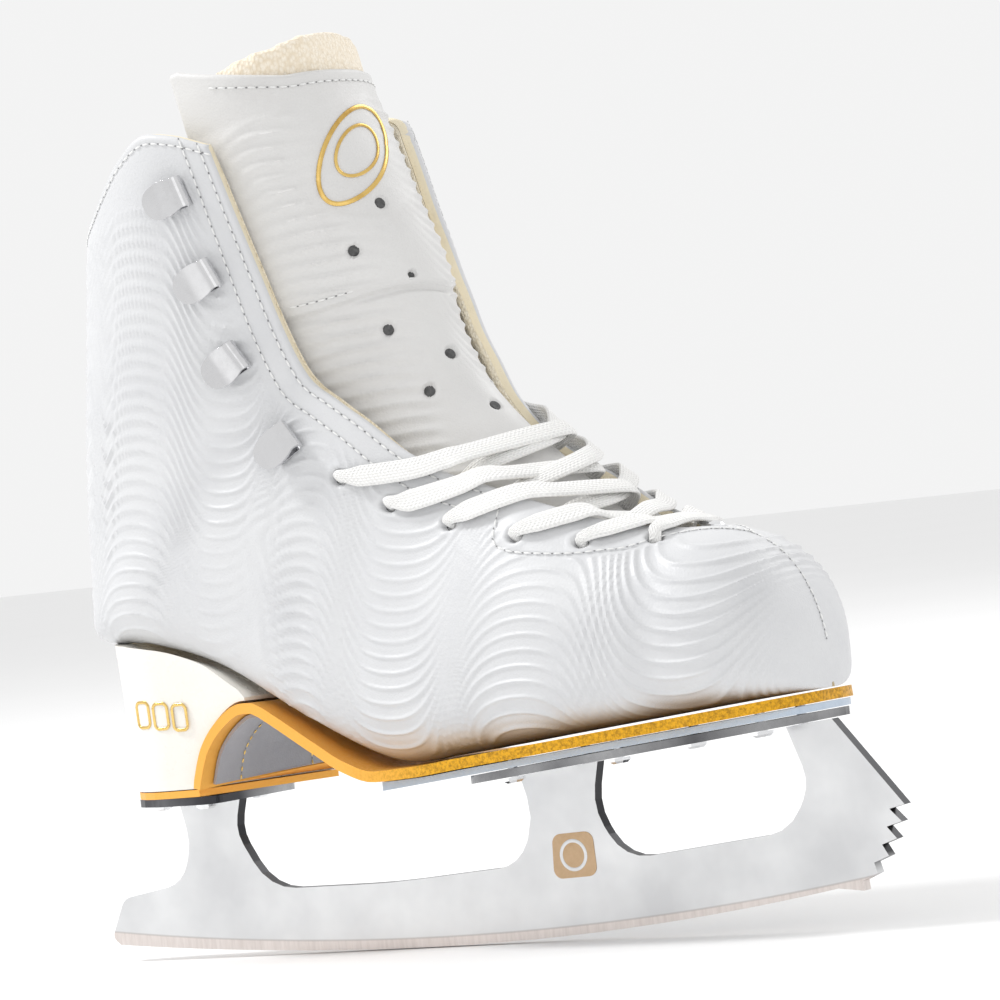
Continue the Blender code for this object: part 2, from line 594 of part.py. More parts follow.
def lean(angle, crossing, s, hole_angle):
    """Section of a strand at angle, on its straight way from the top line at crossing to a hole."""
    fall = 1 - math.cos(math.radians(angle))
    return crossing + (s - crossing) * fall / (1 - math.cos(math.radians(hole_angle)))


def lace_strand(side, over):
    """Surface places (section, signed angle, depth) of one half of the lace from its first eyelet up.

    At each eyelet the lace comes over the facing and dives in, runs back under the facing into the
    opening, rises there and crosses to the other side. over is the depth at which it crosses.
    """
    route = []
    for k, place_ in enumerate(EYELETS):
        s, a = place_[0], angle_of(place_, side)
        before, after = CROSSINGS[max(k - 1, 0)], CROSSINGS[min(k, len(CROSSINGS) - 1)]
        if k:
            edge = float(facing(np.array(lean(a - 15.0, before, s, a)), side))
            for place_angle, depth in ((edge - 12.5, over * 0.55), (edge - 4.0, -1.8), (edge + 3.0, -LACE_OVER)):
                route.append((lean(place_angle, before, s, a), side * place_angle, depth))
        route += [(lean(a - 4.5, before, s, a), side * (a - 4.5), -LACE_OVER), (s, side * (a - 0.5), -1.0),
                  (s, side * a, 2.2), (s, side * (a - 0.2), 6.0)]
        if k == len(EYELETS) - 1:
            break
        edge = float(facing(np.array(lean(a - 15.0, after, s, a)), side))
        for place_angle, depth in ((a - 3.5, LACE_UNDER), (edge + 0.5, LACE_UNDER), (edge - 10.0, 4.6)):
            route.append((lean(place_angle, after, s, a), side * place_angle, depth))
        route.append((after, side * 4.0, over))
        side = -side
    return route


def lace_route():
    """The whole laced part, from the top lateral eyelet down one half, over the first bar and up the other."""
    first = lace_strand(-1, 3.4)
    second = lace_strand(1, 0.2)
    bar = [(EYELETS[0][0] - 0.02, -4.0, -2.0)]
    return first[::-1] + bar + second


def place(route):
    """Points in space of a route in surface places."""
    made = []
    for s, a, depth in route:
        angle = max(abs(a), 0.3)
        made.append(boot_at(np.array(s), np.array(angle), 1 if a >= 0 else -1, np.array(float(depth)))[0])
    return np.array(made)


def smooth_route(points, spacing):
    """Points every spacing millimetres along the smooth curve through points."""
    t = np.linspace(0, len(points) - 1, 40 * len(points))
    fine = through(points, t)
    run = np.concatenate([[0], np.cumsum(np.linalg.norm(np.diff(fine, axis=0), axis=1))])
    count = max(2, int(run[-1] / spacing))
    at = np.linspace(0, run[-1], count + 1)
    return np.stack([np.interp(at, run, fine[:, k]) for k in range(3)], axis=-1)


HANK_X = (82.0, 180.0)
HANK_HALF = 24.0
HANK_HOLLOW = 13.5        # half width of the hollow in its middle
HANK_TALL = 7.4
AGLET_X = (120.0, 118.0)  # where the lateral and the medial aglet start
HANK_RISE = 13.8          # height of the lower hank's underside over the feather line


def hank_base(level):
    """Height of a hank's underside over the straight line of the forefoot."""
    return HANK_RISE + level * (HANK_TALL + GAP)


def oval(half, low):
    """Oval of the hank whose straight sides are half away from its middle line, at height low(x)."""
    turn = np.linspace(-math.pi / 2, math.pi / 2, 9)
    fore = [(HANK_X[1] - HANK_HALF + half * math.cos(t), half * math.sin(t)) for t in turn]
    rear = [(HANK_X[0] + HANK_HALF - half * math.cos(t), -half * math.sin(t)) for t in turn]
    return [(x, y, low(x)) for x, y in fore + rear]


def hank(name, level, look):
    """Oval ring of a lace end wound flat, lying on the footbed."""
    low = lambda x: floor_line(x) + hank_base(level)
    high = lambda x: low(x) + HANK_TALL
    return hoop(name, [oval(HANK_HALF, low), oval(HANK_HALF, high), oval(HANK_HOLLOW, high),
                       oval(HANK_HOLLOW, low)], look)


def floor_line(x):
    """Straight line of the forefoot's feather line."""
    return 60.3 + SOLE_RISE * (x - SOLE_X)


def tail_route(side):
    """A lace end's way from the top eyelet's inside, past the tongue's wing and down to its hank."""
    s, a = EYELETS[-1][0], angle_of(EYELETS[-1], side)
    wing = float(curve_y(TONGUE_REACH[side], np.array(s)))
    level = 0 if side < 0 else 1
    end_x = HANK_X[0] + 18.0
    end = np.array((end_x, side * (HANK_HALF + 0.6), floor_line(end_x) + hank_base(level) + HANK_TALL / 2))
    wall = place([(s, side * (a + 1.0), 7.2), (s + 0.02, side * (a + 4.0), 7.7), (s, side * (wing + 2.5), 8.2),
                  (s - 0.5, side * (wing + 13.0), 8.8), (s - 1.2, side * (wing + 25.0), 9.4),
                  (s - 2.0, side * (wing + 38.0), 10.0)])
    return np.vstack([wall, end + (-12.0, side * 1.8, 5.0), end])


def aglet(name, start, axis, look):
    """Hard sheath on a lace's end."""
    return turned(name, start, axis, [(0.0, 1.3), (1.0, 1.5), (15.0, 1.5), (16.5, 0.9)], look, 10)


def build():
    for obj in list(bpy.data.objects):
        bpy.data.objects.remove(obj)
    leather = material("white_leather", (0.86, 0.86, 0.87), 0.45)
    cream = material("cream_lining", (0.90, 0.82, 0.68), 0.85)
    gold = material("gold_edge", (0.85, 0.52, 0.10), 0.35, 0.7)
    heel_white = material("heel_enamel", (0.93, 0.90, 0.84), 0.3)
    grey = material("grey_leather", (0.42, 0.42, 0.46), 0.6)
    blue_grey = material("outsole_leather", (0.55, 0.62, 0.70), 0.5)
    board = material("fibre_board", (0.55, 0.40, 0.26), 0.8)
    cork = material("cork", (0.60, 0.42, 0.25), 0.9)
    foam = material("stiffener", (0.75, 0.72, 0.66), 0.8)
    chrome = material("chrome", (0.82, 0.83, 0.85), 0.12, 1.0)
    steel = material("blade_steel", (0.80, 0.81, 0.82), 0.3, 1.0)
    cotton = material("lace_cotton", (0.92, 0.91, 0.90), 0.9)

    blade(steel)
    sole_plate = plate("sole_plate", mirrored(SOLE_PLATE), plate_z, PLATE_THICK, chrome)
    heel_plate = plate("heel_plate", mirrored(HEEL_PLATE), lambda x: HEEL_PLATE_BOTTOM, PLATE_THICK, chrome)
    slope = (-SOLE_RISE, 0.0, 1.0)
    for k, (x, y) in enumerate(SOLE_SCREWS):
        screw(f"sole_screw_{k + 1}", x, y, plate_z(x), slope, 8.0, chrome)
    for k, (x, y) in enumerate(HEEL_SCREWS):
        screw(f"heel_screw_{k + 1}", x, y, HEEL_PLATE_BOTTOM, (0, 0, 1), 22.0, chrome)
    sole_drill = drill("sole_hole", SOLE_SCREWS, plate_z, slope, 1.95, -3.0, 12.0, chrome)
    heel_drill = drill("heel_hole", HEEL_SCREWS, lambda x: HEEL_PLATE_BOTTOM, (0, 0, 1), 1.95, -3.0, 24.0, chrome)
    cut(sole_plate, sole_drill)
    cut(heel_plate, heel_drill)

    walk = strip_grid(TOE_TIP - 1.0, 15)
    welt = shell("welt", offset_grid(walk, 0.0), offset_grid(walk, WELT_THICK), gold)
    fore = walk[ARCH_ROWS + 3:, 1:-1].copy()
    fore[..., 1] *= 0.97
    near = offset_grid(fore, WELT_THICK + GAP)
    far = near.copy()
    far[..., 2] = plate_z(far[..., 0]) + PLATE_THICK + GAP
    far[..., 2] = np.minimum(far[..., 2], near[..., 2] - 0.8)
    outsole = shell("outsole", near, far, blue_grey)
    cover = walk[1:ARCH_ROWS + 2, 1:-1]
    shell("breast_cover", offset_grid(cover, WELT_THICK + GAP), offset_grid(cover, WELT_THICK + GAP + 1.2), grey)
    for piece in (welt, outsole):
        cut(piece, sole_drill)
    block = heel_block(heel_white)
    lift = plate("heel_lift", heel_outline(), lambda x: HEEL_PLATE_BOTTOM + PLATE_THICK + GAP, 2.2, gold)
    for piece in (block, lift):
        cut(piece, heel_drill)

    filler = sole_grid(80.0, 190.0, 8, 22.0, 0.4, 5)
    shell("cork_filler", filler, filler + (0, 0, 2.8), cork)
    x = np.linspace(-24.0, 96.0, 16)
    flat = np.stack([np.repeat(x[:, None], 3, 1), np.repeat(np.array([[-8.0, 0.0, 8.0]]), 16, 0),
                     np.repeat((feather(x) + 3.5)[:, None], 3, 1)], axis=-1)
    shell("shank", flat, flat + (0, 0, 1.8), steel)
    insole = sole_grid(-31.0, 197.0, 18, 17.5, 8.3, 3)
    shell("insole_board", insole, insole + (0, 0, 1.6), board)
    bed = sole_grid(-31.0, 197.0, 18, 18.0, 10.2, 3)
    shell("footbed", bed, bed + (0, 0, 3.2), cream)

    for side, word in ((-1, "lateral"), (1, "medial")):
        cutters = lace_holes(side, chrome)
        outer = quarter(f"quarter_{word}", side, (0.0, UPPER_THICK), leather)
        inner = quarter(f"lining_{word}", side, LINING, cream, 19, 8, 0.9, 0.06)
        cut(outer, cutters)
        cut(inner, cutters)
        for k, place_ in enumerate(EYELETS):
            eyelet(f"eyelet_{word}_{k + 1}", side, place_[0], angle_of(place_, side), chrome)
        for k, place_ in enumerate(HOOKS):
            hook(f"lace_hook_{word}_{k + 1}", side, place_[0], angle_of(place_, side), chrome)

    tongue("tongue_lower", lambda a: 3.3 + 0.0 * a, lambda a: seam(a) - 0.45, (0.0, TONGUE_THICK), leather, 15, 9)
    tongue("tongue_upper", seam, tongue_top, (-1.2, TONGUE_THICK - 1.2), leather, 10, 11, 0.0, TONGUE_PIVOT)
    tongue("tongue_pad", lambda a: seam(a) + 0.25, lambda a: tongue_top(a) + 1.0 - 0.7 * (a / 60.0)**2,
           (TONGUE_THICK - 0.2, TONGUE_THICK - 0.2 + PAD_THICK), cream, 10, 11, 4.0, TONGUE_PIVOT)

    tube("lace", smooth_route(place(lace_route()), 4.6), LACE_RADIUS, cotton)
    for side, word, level in ((-1, "lateral", 0), (1, "medial", 1)):
        tube(f"lace_tail_{word}", smooth_route(tail_route(side), 6.5), LACE_RADIUS, cotton)
        hank(f"lace_hank_{word}", level, cotton)
    along = (1.0, 0.0, SOLE_RISE)
    low_x, high_x = AGLET_X
    aglet("aglet_lateral", (low_x, -2.0, floor_line(low_x) + hank_base(0) + 1.5), along, chrome)
    aglet("aglet_medial", (high_x, 18.5, floor_line(high_x) + hank_base(2) + 1.5), along, chrome)
    here, up = boot_at(np.array(2.85), np.array(0.4), -1, np.array(-GAP))
    turned("vamp_rivet", here, up, [(0.0, 2.6), (0.5, 2.6), (1.1, 1.9), (1.4, 0.8)], chrome, 14)


if __name__ == "__main__":
    build()
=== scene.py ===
"""Visual model of a white figure skate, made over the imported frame.

Lengths are in millimetres in the boot's own frame, as in the solid model, until a mesh is made: then
they are moved by ORIGIN and turned into metres.
"""
import math

import bpy
import numpy as np
from mathutils import Matrix, Vector


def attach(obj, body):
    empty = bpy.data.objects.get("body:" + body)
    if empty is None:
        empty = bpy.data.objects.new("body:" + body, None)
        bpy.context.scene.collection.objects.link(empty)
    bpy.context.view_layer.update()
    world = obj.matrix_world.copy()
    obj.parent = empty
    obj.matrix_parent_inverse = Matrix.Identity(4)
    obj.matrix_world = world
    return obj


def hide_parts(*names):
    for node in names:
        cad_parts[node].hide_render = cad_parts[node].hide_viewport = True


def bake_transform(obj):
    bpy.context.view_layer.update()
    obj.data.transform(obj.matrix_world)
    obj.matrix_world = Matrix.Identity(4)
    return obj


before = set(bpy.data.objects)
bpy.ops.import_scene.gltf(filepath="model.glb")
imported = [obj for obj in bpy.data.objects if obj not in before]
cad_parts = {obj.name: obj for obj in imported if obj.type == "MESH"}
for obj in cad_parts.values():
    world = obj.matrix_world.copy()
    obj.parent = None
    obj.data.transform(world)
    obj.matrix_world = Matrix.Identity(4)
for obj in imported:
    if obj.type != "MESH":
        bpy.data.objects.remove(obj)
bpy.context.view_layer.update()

MM = 0.001
ORIGIN = np.array((-86.8, -2.1, 0.0))

GAP = 0.3

TOE_TIP = 214.5          # foremost point of the boot
TOE_ROOT = 178.0         # where the toe cap's rounding starts
TOE_HEIGHT = 54.0        # boot height at the toe root
TOE_SPAN = 3.0           # sections that the rounded toe takes
SOLE_RISE = 0.092        # slope of the forefoot from ball to toe
SOLE_X = 103.0           # rear edge of the sole plate
PLATE_BOTTOM = 51.5      # underside of the sole plate at SOLE_X
HEEL_PLATE_BOTTOM = 50.5
PLATE_THICK = 2.5
BLADE_THICK = 4.0
UPPER_THICK = 2.2
LINING = (4.1, 5.6)      # depth of the lining's two faces under the boot's outer surface
EYELET_DEPTH = 3.1       # depth of the eyelet rings, between the leather and the lining
TONGUE_DEPTH = 10.2      # depth of the tongue under the facings
TONGUE_THICK = 1.8
PAD_THICK = 5.5
WELT_THICK = 3.3
HOLE_RADIUS = 3.0
LACE_RADIUS = 1.2

# Sections of the boot from the toe root to above the collar. Each is a plane through a top point and
# a bottom point: top x, top z, bottom x, bottom z, lateral and medial half width, height share of the
# widest point, fullness of the upper and lower corners (2 is an ellipse, more is squarer), and how far
# the top leans to the medial side.
SECTIONS = np.array([
    (178, 121.2, 178, 67.2, 37.0, 36.5, 0.34, 2.35, 3.6, 0.0),
    (165, 125.5, 165, 66.0, 40.0, 39.0, 0.34, 2.20, 3.6, 0.5),
    (150, 134.5, 146, 64.2, 42.0, 41.5, 0.33, 2.05, 3.6, 1.5),
    (137, 146.0, 124, 62.3, 42.0, 42.5, 0.32, 2.00, 3.6, 3.0),
    (125, 157.0, 98, 59.8, 39.5, 41.0, 0.32, 2.05, 3.4, 4.5),
    (114, 167.5, 70, 58.0, 36.0, 38.0, 0.33, 2.15, 3.0, 5.5),
    (106, 177.0, 40, 73.0, 34.0, 36.0, 0.36, 2.25, 2.8, 6.0),
    (101, 186.0, 8, 92.5, 33.5, 35.5, 0.40, 2.35, 2.6, 6.0),
    (97, 194.0, -22, 101.6, 33.5, 35.5, 0.43, 2.40, 2.5, 6.0),
    (94, 202.0, -44, 103.6, 33.5, 36.0, 0.46, 2.45, 2.5, 6.0),
    (90, 210.0, -49.3, 113.0, 34.5, 37.0, 0.50, 2.50, 2.3, 6.0),
    (86, 219.0, -48.8, 136.0, 35.5, 38.5, 0.52, 2.55, 2.1, 6.0),
    (81, 230.0, -45.0, 166.0, 37.5, 40.5, 0.54, 2.60, 2.1, 6.0),
    (76, 244.0, -39.5, 198.0, 39.5, 42.5, 0.54, 2.60, 2.1, 6.0),
    (71, 258.0, -34.5, 226.0, 41.0, 44.0, 0.54, 2.60, 2.1, 5.5),
    (67, 271.0, -29.5, 247.0, 41.5, 44.0, 0.54, 2.55, 2.1, 4.5),
    (64, 285.0, -25.0, 266.0, 41.5, 43.5, 0.54, 2.50, 2.1, 3.5),
    (61, 299.0, -21.0, 284.0, 41.5, 43.0, 0.54, 2.50, 2.1, 2.5),
], dtype=float)

# Feather line, where the upper meets the sole: x and z from the back of the heel to the toe.
FEATHER = np.array([(-50, 103.4), (-30, 102.4), (-12, 100.0), (4, 95.0), (18, 85.6), (32, 77.0), (47, 67.6),
                    (58, 61.4), (70, 58.0), (85, 58.6), (103, 60.3), (165, 66.0), (220, 71.1)], dtype=float)
# Half width of the sole from the heel's widest point to the toe root.
SOLE_WIDTH = np.array([(-14, 29.5), (18, 28.5), (48, 30.0), (78, 35.0), (108, 39.0), (138, 40.5),
                       (162, 38.5), (178, 35.5)], dtype=float)
HEEL_ROUND = 27.0        # length of the rounded back of the heel
# Front of the heel, from the heel's bottom up to the top of the arch, on the lateral side.
BREAST = np.array([(-2.2, 55.8), (-1.2, 60.0), (2.2, 68.6), (8.2, 75.8), (16.5, 81.0), (24.5, 81.2)], dtype=float)
ARCH_ROWS = 9
HEEL_FRONT = 20.5        # how far the heel block runs forward under the arch
BREAST_SLANT = 17.0      # how much further forward the heel's medial corner reaches

# Places on the boot are (section, angle), the angle being one for each side: -1 lateral, +1 medial.
EYELETS = [(3.55, 28.5, 26.5), (4.90, 44.0, 41.0), (6.25, 53.5, 48.5), (7.70, 58.5, 52.0), (8.90, 65.0, 52.0),
           (9.85, 70.0, 50.5)]
HOOKS = [(11.2, 73.0, 52.0), (14.0, 80.0, 56.0), (15.45, 85.0, 59.0), (16.8, 90.5, 62.0)]
# Front edge of each quarter: section and angle.
FACING = {
    -1: np.array([(2.9, 3.0), (3.55, 15.0), (4.9, 30.0), (6.25, 39.5), (7.7, 46.0), (8.9, 52.0), (10.0, 56.0),
                  (11.5, 58.5), (13.0, 62.0), (14.5, 65.5), (16.0, 69.5), (17.5, 74.0), (18.5, 80.0)]),
    1: np.array([(2.9, 3.0), (3.55, 13.0), (4.9, 26.0), (6.25, 33.0), (7.7, 36.0), (8.9, 35.0), (10.0, 32.0),
                 (11.5, 28.0), (13.0, 26.0), (14.5, 25.5), (16.0, 27.5), (17.0, 30.5), (18.5, 38.0)]),
}
# Top edge of each quarter: angle and section, from the front corner to the back seam.
COLLAR = {
    -1: np.array([(72, 17.40), (85, 17.88), (98, 18.15), (111, 17.98), (123, 17.65), (136, 17.35), (155, 17.2),
                  (180, 17.15)]),
    1: np.array([(28, 16.80), (38, 17.25), (58, 17.75), (82, 17.98), (104, 17.95), (123, 17.65), (136, 17.35),
                 (155, 17.2), (180, 17.15)]),
}
# How far each wing of the tongue reaches: section and angle.
TONGUE_REACH = {
    -1: np.array([(3.3, 34.0), (5.0, 52.0), (7.0, 63.0), (9.0, 73.0), (10.5, 76.0), (12.5, 76.0), (14.5, 79.0),
                  (17.0, 86.0), (19.3, 98.0)]),
    1: np.array([(3.3, 32.0), (5.0, 50.0), (7.0, 59.0), (9.0, 62.0), (10.5, 60.0), (12.5, 56.0), (14.5, 54.0),
                 (17.0, 54.0), (19.3, 56.0)]),
}
TONGUE_PIVOT = (54.0, 0.0, 199.0)


# ---- curves and the boot's surface ----------------------------------------------------------
def through(points, t):
    """Smooth curve through the rows of points; t counts rows and may be an array."""
    t = np.clip(np.asarray(t, float), 0, len(points) - 1)
    i = np.minimum(t.astype(int), len(points) - 2)
    f = (t - i)[..., None]
    before, after = np.maximum(i - 1, 0), np.minimum(i + 2, len(points) - 1)
    a, b, c, d = points[before], points[i], points[i + 1], points[after]
    return 0.5 * (2 * b + (c - a) * f + (2 * a - 5 * b + 4 * c - d) * f**2 + (3 * b - a - 3 * c + d) * f**3)


def curve_y(points, x):
    """Height of the smooth curve through (x, y) rows at x, with no overshoot."""
    px, py = points[:, 0], points[:, 1]
    step = np.diff(py) / np.diff(px)
    slope = np.zeros(len(px))
    inner = step[:-1] * step[1:] > 0
    slope[1:-1][inner] = 2 * step[:-1][inner] * step[1:][inner] / (step[:-1] + step[1:])[inner]
    slope[0], slope[-1] = step[0], step[-1]
    x = np.clip(np.asarray(x, float), px[0], px[-1])
    i = np.clip(np.searchsorted(px, x, side="right") - 1, 0, len(px) - 2)
    h = px[i + 1] - px[i]
    f = (x - px[i]) / h
    return ((1 + 2 * f) * (1 - f)**2 * py[i] + f * (1 - f)**2 * h * slope[i]
            + f**2 * (3 - 2 * f) * py[i + 1] + f**2 * (f - 1) * h * slope[i + 1])


def toe_section(s):
    """Section s of the rounded toe, from 0 at the tip to TOE_SPAN at the toe root."""
    u = np.sin((1 - np.asarray(s, float) / TOE_SPAN) * math.pi / 2)
    x = TOE_ROOT + (TOE_TIP - TOE_ROOT) * u
    low = curve_y(FEATHER, x)
    high = low + (TOE_HEIGHT - 0.18 * (x - TOE_ROOT)) * (1 - u**2.6)**(1 / 2.6)
    wide = (1 - u**2.3)**(1 / 2.3)
    first = SECTIONS[0]
    rest = [np.full_like(u, v) for v in first[6:]]
    return np.stack([x, high, x, low, first[4] * wide, first[5] * wide, *rest], axis=-1)


def section(s):
    """Columns of SECTIONS at section s, an array."""
    s = np.asarray(s, float)
    slope = (toe_section(TOE_SPAN) - toe_section(TOE_SPAN - 1e-3)) / 1e-3
    lead = SECTIONS[1] - 2 * slope
    rows = np.vstack([lead, SECTIONS])
    leather = through(rows, np.maximum(s - TOE_SPAN, 0) + 1)
    toe = toe_section(np.clip(s, 0, TOE_SPAN))
    return np.where((s < TOE_SPAN)[..., None], toe, leather)


def boot(s, angle, side):
    """Points of the boot's outer surface. angle is 0 on the top line and 180 on the bottom or back line."""
    s, angle = np.broadcast_arrays(np.asarray(s, float), np.radians(np.asarray(angle, float)))
    c = section(s)
    mix = np.clip((angle - math.radians(55)) / math.radians(70), 0, 1)
    mix = mix * mix * (3 - 2 * mix)
    n = c[..., 7] + (c[..., 8] - c[..., 7]) * mix
    co, si = np.cos(angle), np.sin(angle)
    r = (np.abs(co)**n + np.abs(si)**n)**(-1 / n)
    share = c[..., 6] + np.where(co > 0, 1 - c[..., 6], c[..., 6]) * r * co
    width = (c[..., 5] if side > 0 else c[..., 4]) * r * si
    x = c[..., 2] + (c[..., 0] - c[..., 2]) * share
    z = c[..., 3] + (c[..., 1] - c[..., 3]) * share
    y = side * width + c[..., 9] * np.clip(share, 0, 1)**1.5
    return np.stack([x, y, z], axis=-1)


def boot_at(s, angle, side, depth=0.0):
    """Point depth under the boot's surface, and the outward normal there."""
    e = 0.02
    p = boot(s, angle, side)
    along = boot(np.asarray(s) + e, angle, side) - boot(np.asarray(s) - e, angle, side)
    round_ = boot(s, np.asarray(angle) + 20 * e, side) - boot(s, np.asarray(angle) - 20 * e, side)
    n = np.cross(along, round_) * -side
    n = n / np.maximum(np.linalg.norm(n, axis=-1, keepdims=True), 1e-9)
    return p - n * np.asarray(depth, float)[..., None], n


def half_width(x):
    """Half width of the sole at x, round at the toe and at the back of the heel."""
    x = np.asarray(x, float)
    toe = np.clip((x - TOE_ROOT) / (TOE_TIP - 0.8 - TOE_ROOT), 0, 1)
    heel = np.clip((SOLE_WIDTH[0, 0] - x) / HEEL_ROUND, 0, 1)
    return curve_y(SOLE_WIDTH, x) * (1 - toe**2.3)**(1 / 2.3) * (1 - heel**2.2)**(1 / 2.2)


def feather(x):
    """Height of the feather line at x."""
    return curve_y(FEATHER, x)


def plate_z(x):
    """Underside of the sole plate at x."""
    return PLATE_BOTTOM + SOLE_RISE * (x - SOLE_X)


def offset_grid(grid, depth):
    """The grid moved by depth against its own normal, which is rows crossed with columns."""
    along = np.gradient(grid, axis=0)
    across = np.gradient(grid, axis=1)
    n = np.cross(along, across)
    n /= np.maximum(np.linalg.norm(n, axis=-1, keepdims=True), 1e-9)
    return grid - n * depth


def fillet(corners):
    """Outline through (x, z, radius) corners, each rounded by an arc of its radius."""
    made = []
    for k, (x, z, r) in enumerate(corners):
        here = np.array((x, z))
        if r <= 0:
            made.append(here)
            continue
        back = np.array(corners[k - 1][:2]) - here
        ahead = np.array(corners[(k + 1) % len(corners)][:2]) - here
        long_back, long_ahead = np.linalg.norm(back), np.linalg.norm(ahead)
        back, ahead = back / long_back, ahead / long_ahead
        half = math.acos(np.clip(back @ ahead, -1, 1)) / 2
        reach = min(r / math.tan(half), 0.49 * long_back, 0.49 * long_ahead)
        radius = reach * math.tan(half)
        centre = here + (back + ahead) / np.linalg.norm(back + ahead) * radius / math.sin(half)
        first, last = here + back * reach - centre, here + ahead * reach - centre
        turn = math.atan2(first[0] * last[1] - first[1] * last[0], first @ last)
        steps = max(2, int(abs(turn) / math.radians(14)))
        for t in np.linspace(0, turn, steps + 1):
            made.append(centre + (first[0] * math.cos(t) - first[1] * math.sin(t),
                                  first[0] * math.sin(t) + first[1] * math.cos(t)))
    return made


def sole_grid(x_from, x_to, rows, inset, rise, columns=9):
    """Grid across the sole from x_from to x_to, at rise over the feather line."""
    x = np.linspace(x_from, x_to, rows)
    c = np.linspace(-1, 1, columns)
    w = np.maximum(half_width(x) - inset, 3.0)
    return np.stack([np.repeat(x[:, None], columns, 1), w[:, None] * c[None],
                     np.repeat((feather(x) + rise)[:, None], columns, 1)], axis=-1)


def breast_grid(q, columns=9):
    """Grid on the front of the heel. q is 0 at the heel's bottom and 1 at the top of the arch."""
    p = through(BREAST, np.asarray(q) * (len(BREAST) - 1))
    share = (p[:, 1] - BREAST[0, 1]) / (feather(p[:, 0]) - BREAST[0, 1])
    c = np.linspace(-1, 1, columns)
    x = p[:, :1] + (BREAST_SLANT * (1 - np.asarray(q)[:, None])**0.9) * (c[None] + 1) / 2
    z = BREAST[0, 1] + share[:, None] * (feather(x) - BREAST[0, 1])
    return np.stack([x, half_width(x) * c[None], z], axis=-1)


def strip_grid(x_front, rows):
    """Walking surface seen from the boot: down the breast of the heel, over the arch and on to the toe."""
    arch = breast_grid(np.linspace(0.03, 0.97, ARCH_ROWS), 7)
    turn = np.linspace(0, 1, rows)
    x = 27.0 + (x_front - 27.0) * np.sin(turn * math.pi / 2)**0.9
    c = np.linspace(-1, 1, arch.shape[1])
    fore = np.stack([np.repeat(x[:, None], len(c), 1), half_width(x)[:, None] * c[None],
                     np.repeat(feather(x)[:, None] - 0.3, len(c), 1)], axis=-1)
    return np.concatenate([arch, fore])


def angle_of(place_, side):
    """Angle on one side of a (section, lateral angle, medial angle) place."""
    return place_[1] if side < 0 else place_[2]


def facing(s, side):
    """Angle of the quarter's front edge at section s; small where the quarters meet on the toe seam."""
    edge = FACING[side]
    return np.where(s < edge[0, 0], 0.0, curve_y(edge, s))


def seam(angle):
    """Section of the seam between the lower and the upper tongue."""
    return 12.2 + 1.8 * (np.abs(angle) / 64.0)**1.3


def tongue_top(angle):
    """Section of the upper tongue's top edge."""
    return 18.3 + 0.8 * np.clip((np.abs(angle) - 36.0) / 53.0, 0, 1)**1.2


def tongue_depth(s, angle):
    """Depth of the tongue's face: under the facings below, swelling out between them above."""
    edge = np.where(angle < 0, facing(s, -1), facing(s, 1))
    middle = np.cos(np.radians(np.clip(np.abs(angle) / edge * 72.0, 0, 90)))**1.2
    swell = np.clip((s - 9.5) / 5.0, 0, 1)
    swell = swell * swell * (3 - 2 * swell)
    swell = 0.32 * np.clip((s - 3.3) / 1.5, 0, 1) * (1 - swell) + swell
    return TONGUE_DEPTH - swell * middle * (TONGUE_DEPTH - 1.5 - 2.5 * np.clip((s - 15.0) / 3.0, 0, 1))


def tongue_point(s, angle, depth):
    """Point of the tongue; angles below 0 are on the lateral side."""
    lateral, _ = boot_at(s, np.maximum(np.abs(angle), 0.4), -1, depth)
    medial, _ = boot_at(s, np.maximum(np.abs(angle), 0.4), 1, depth)
    middle = (lateral + medial) / 2
    point = np.where((angle < 0)[..., None], lateral, medial)
    return np.where((np.abs(angle) < 0.4)[..., None], middle, point)


LACE_OVER, LACE_UNDER = 2.1, 8.2    # lace centreline over the facing, and depth under it
CROSSINGS = [3.8, 4.4, 5.15, 6.0, 6.9]    # sections at which the lace crosses the top line


def lean(angle, crossing, s, hole_angle):
    """Section of a strand at angle, on its straight way from the top line at crossing to a hole."""
    fall = 1 - math.cos(math.radians(angle))
    return crossing + (s - crossing) * fall / (1 - math.cos(math.radians(hole_angle)))


def lace_strand(side, over):
    """Surface places (section, signed angle, depth) of one half of the lace from its first eyelet up.

    At each eyelet the lace comes over the facing and dives in, runs back under the facing into the
    opening, rises there and crosses to the other side. over is the depth at which it crosses.
    """
    route = []
    for k, place_ in enumerate(EYELETS):
        s, a = place_[0], angle_of(place_, side)
        before, after = CROSSINGS[max(k - 1, 0)], CROSSINGS[min(k, len(CROSSINGS) - 1)]
        if k:
            edge = float(facing(np.array(lean(a - 15.0, before, s, a)), side))
            for place_angle, depth in ((edge - 12.5, over * 0.55), (edge - 4.0, -1.8), (edge + 3.0, -LACE_OVER)):
                route.append((lean(place_angle, before, s, a), side * place_angle, depth))
        route += [(lean(a - 4.5, before, s, a), side * (a - 4.5), -LACE_OVER), (s, side * (a - 0.5), -1.0),
                  (s, side * a, 2.2), (s, side * (a - 0.2), 6.0)]
        if k == len(EYELETS) - 1:
            break
        edge = float(facing(np.array(lean(a - 15.0, after, s, a)), side))
        for place_angle, depth in ((a - 3.5, LACE_UNDER), (edge + 0.5, LACE_UNDER), (edge - 10.0, 4.6)):
            route.append((lean(place_angle, after, s, a), side * place_angle, depth))
        route.append((after, side * 4.0, over))
        side = -side
    return route


def lace_route():
    """The whole laced part, from the top lateral eyelet down one half, over the first bar and up the other."""
    first = lace_strand(-1, 3.4)
    second = lace_strand(1, 0.2)
    bar = [(EYELETS[0][0] - 0.02, -4.0, -2.0)]
    return first[::-1] + bar + second


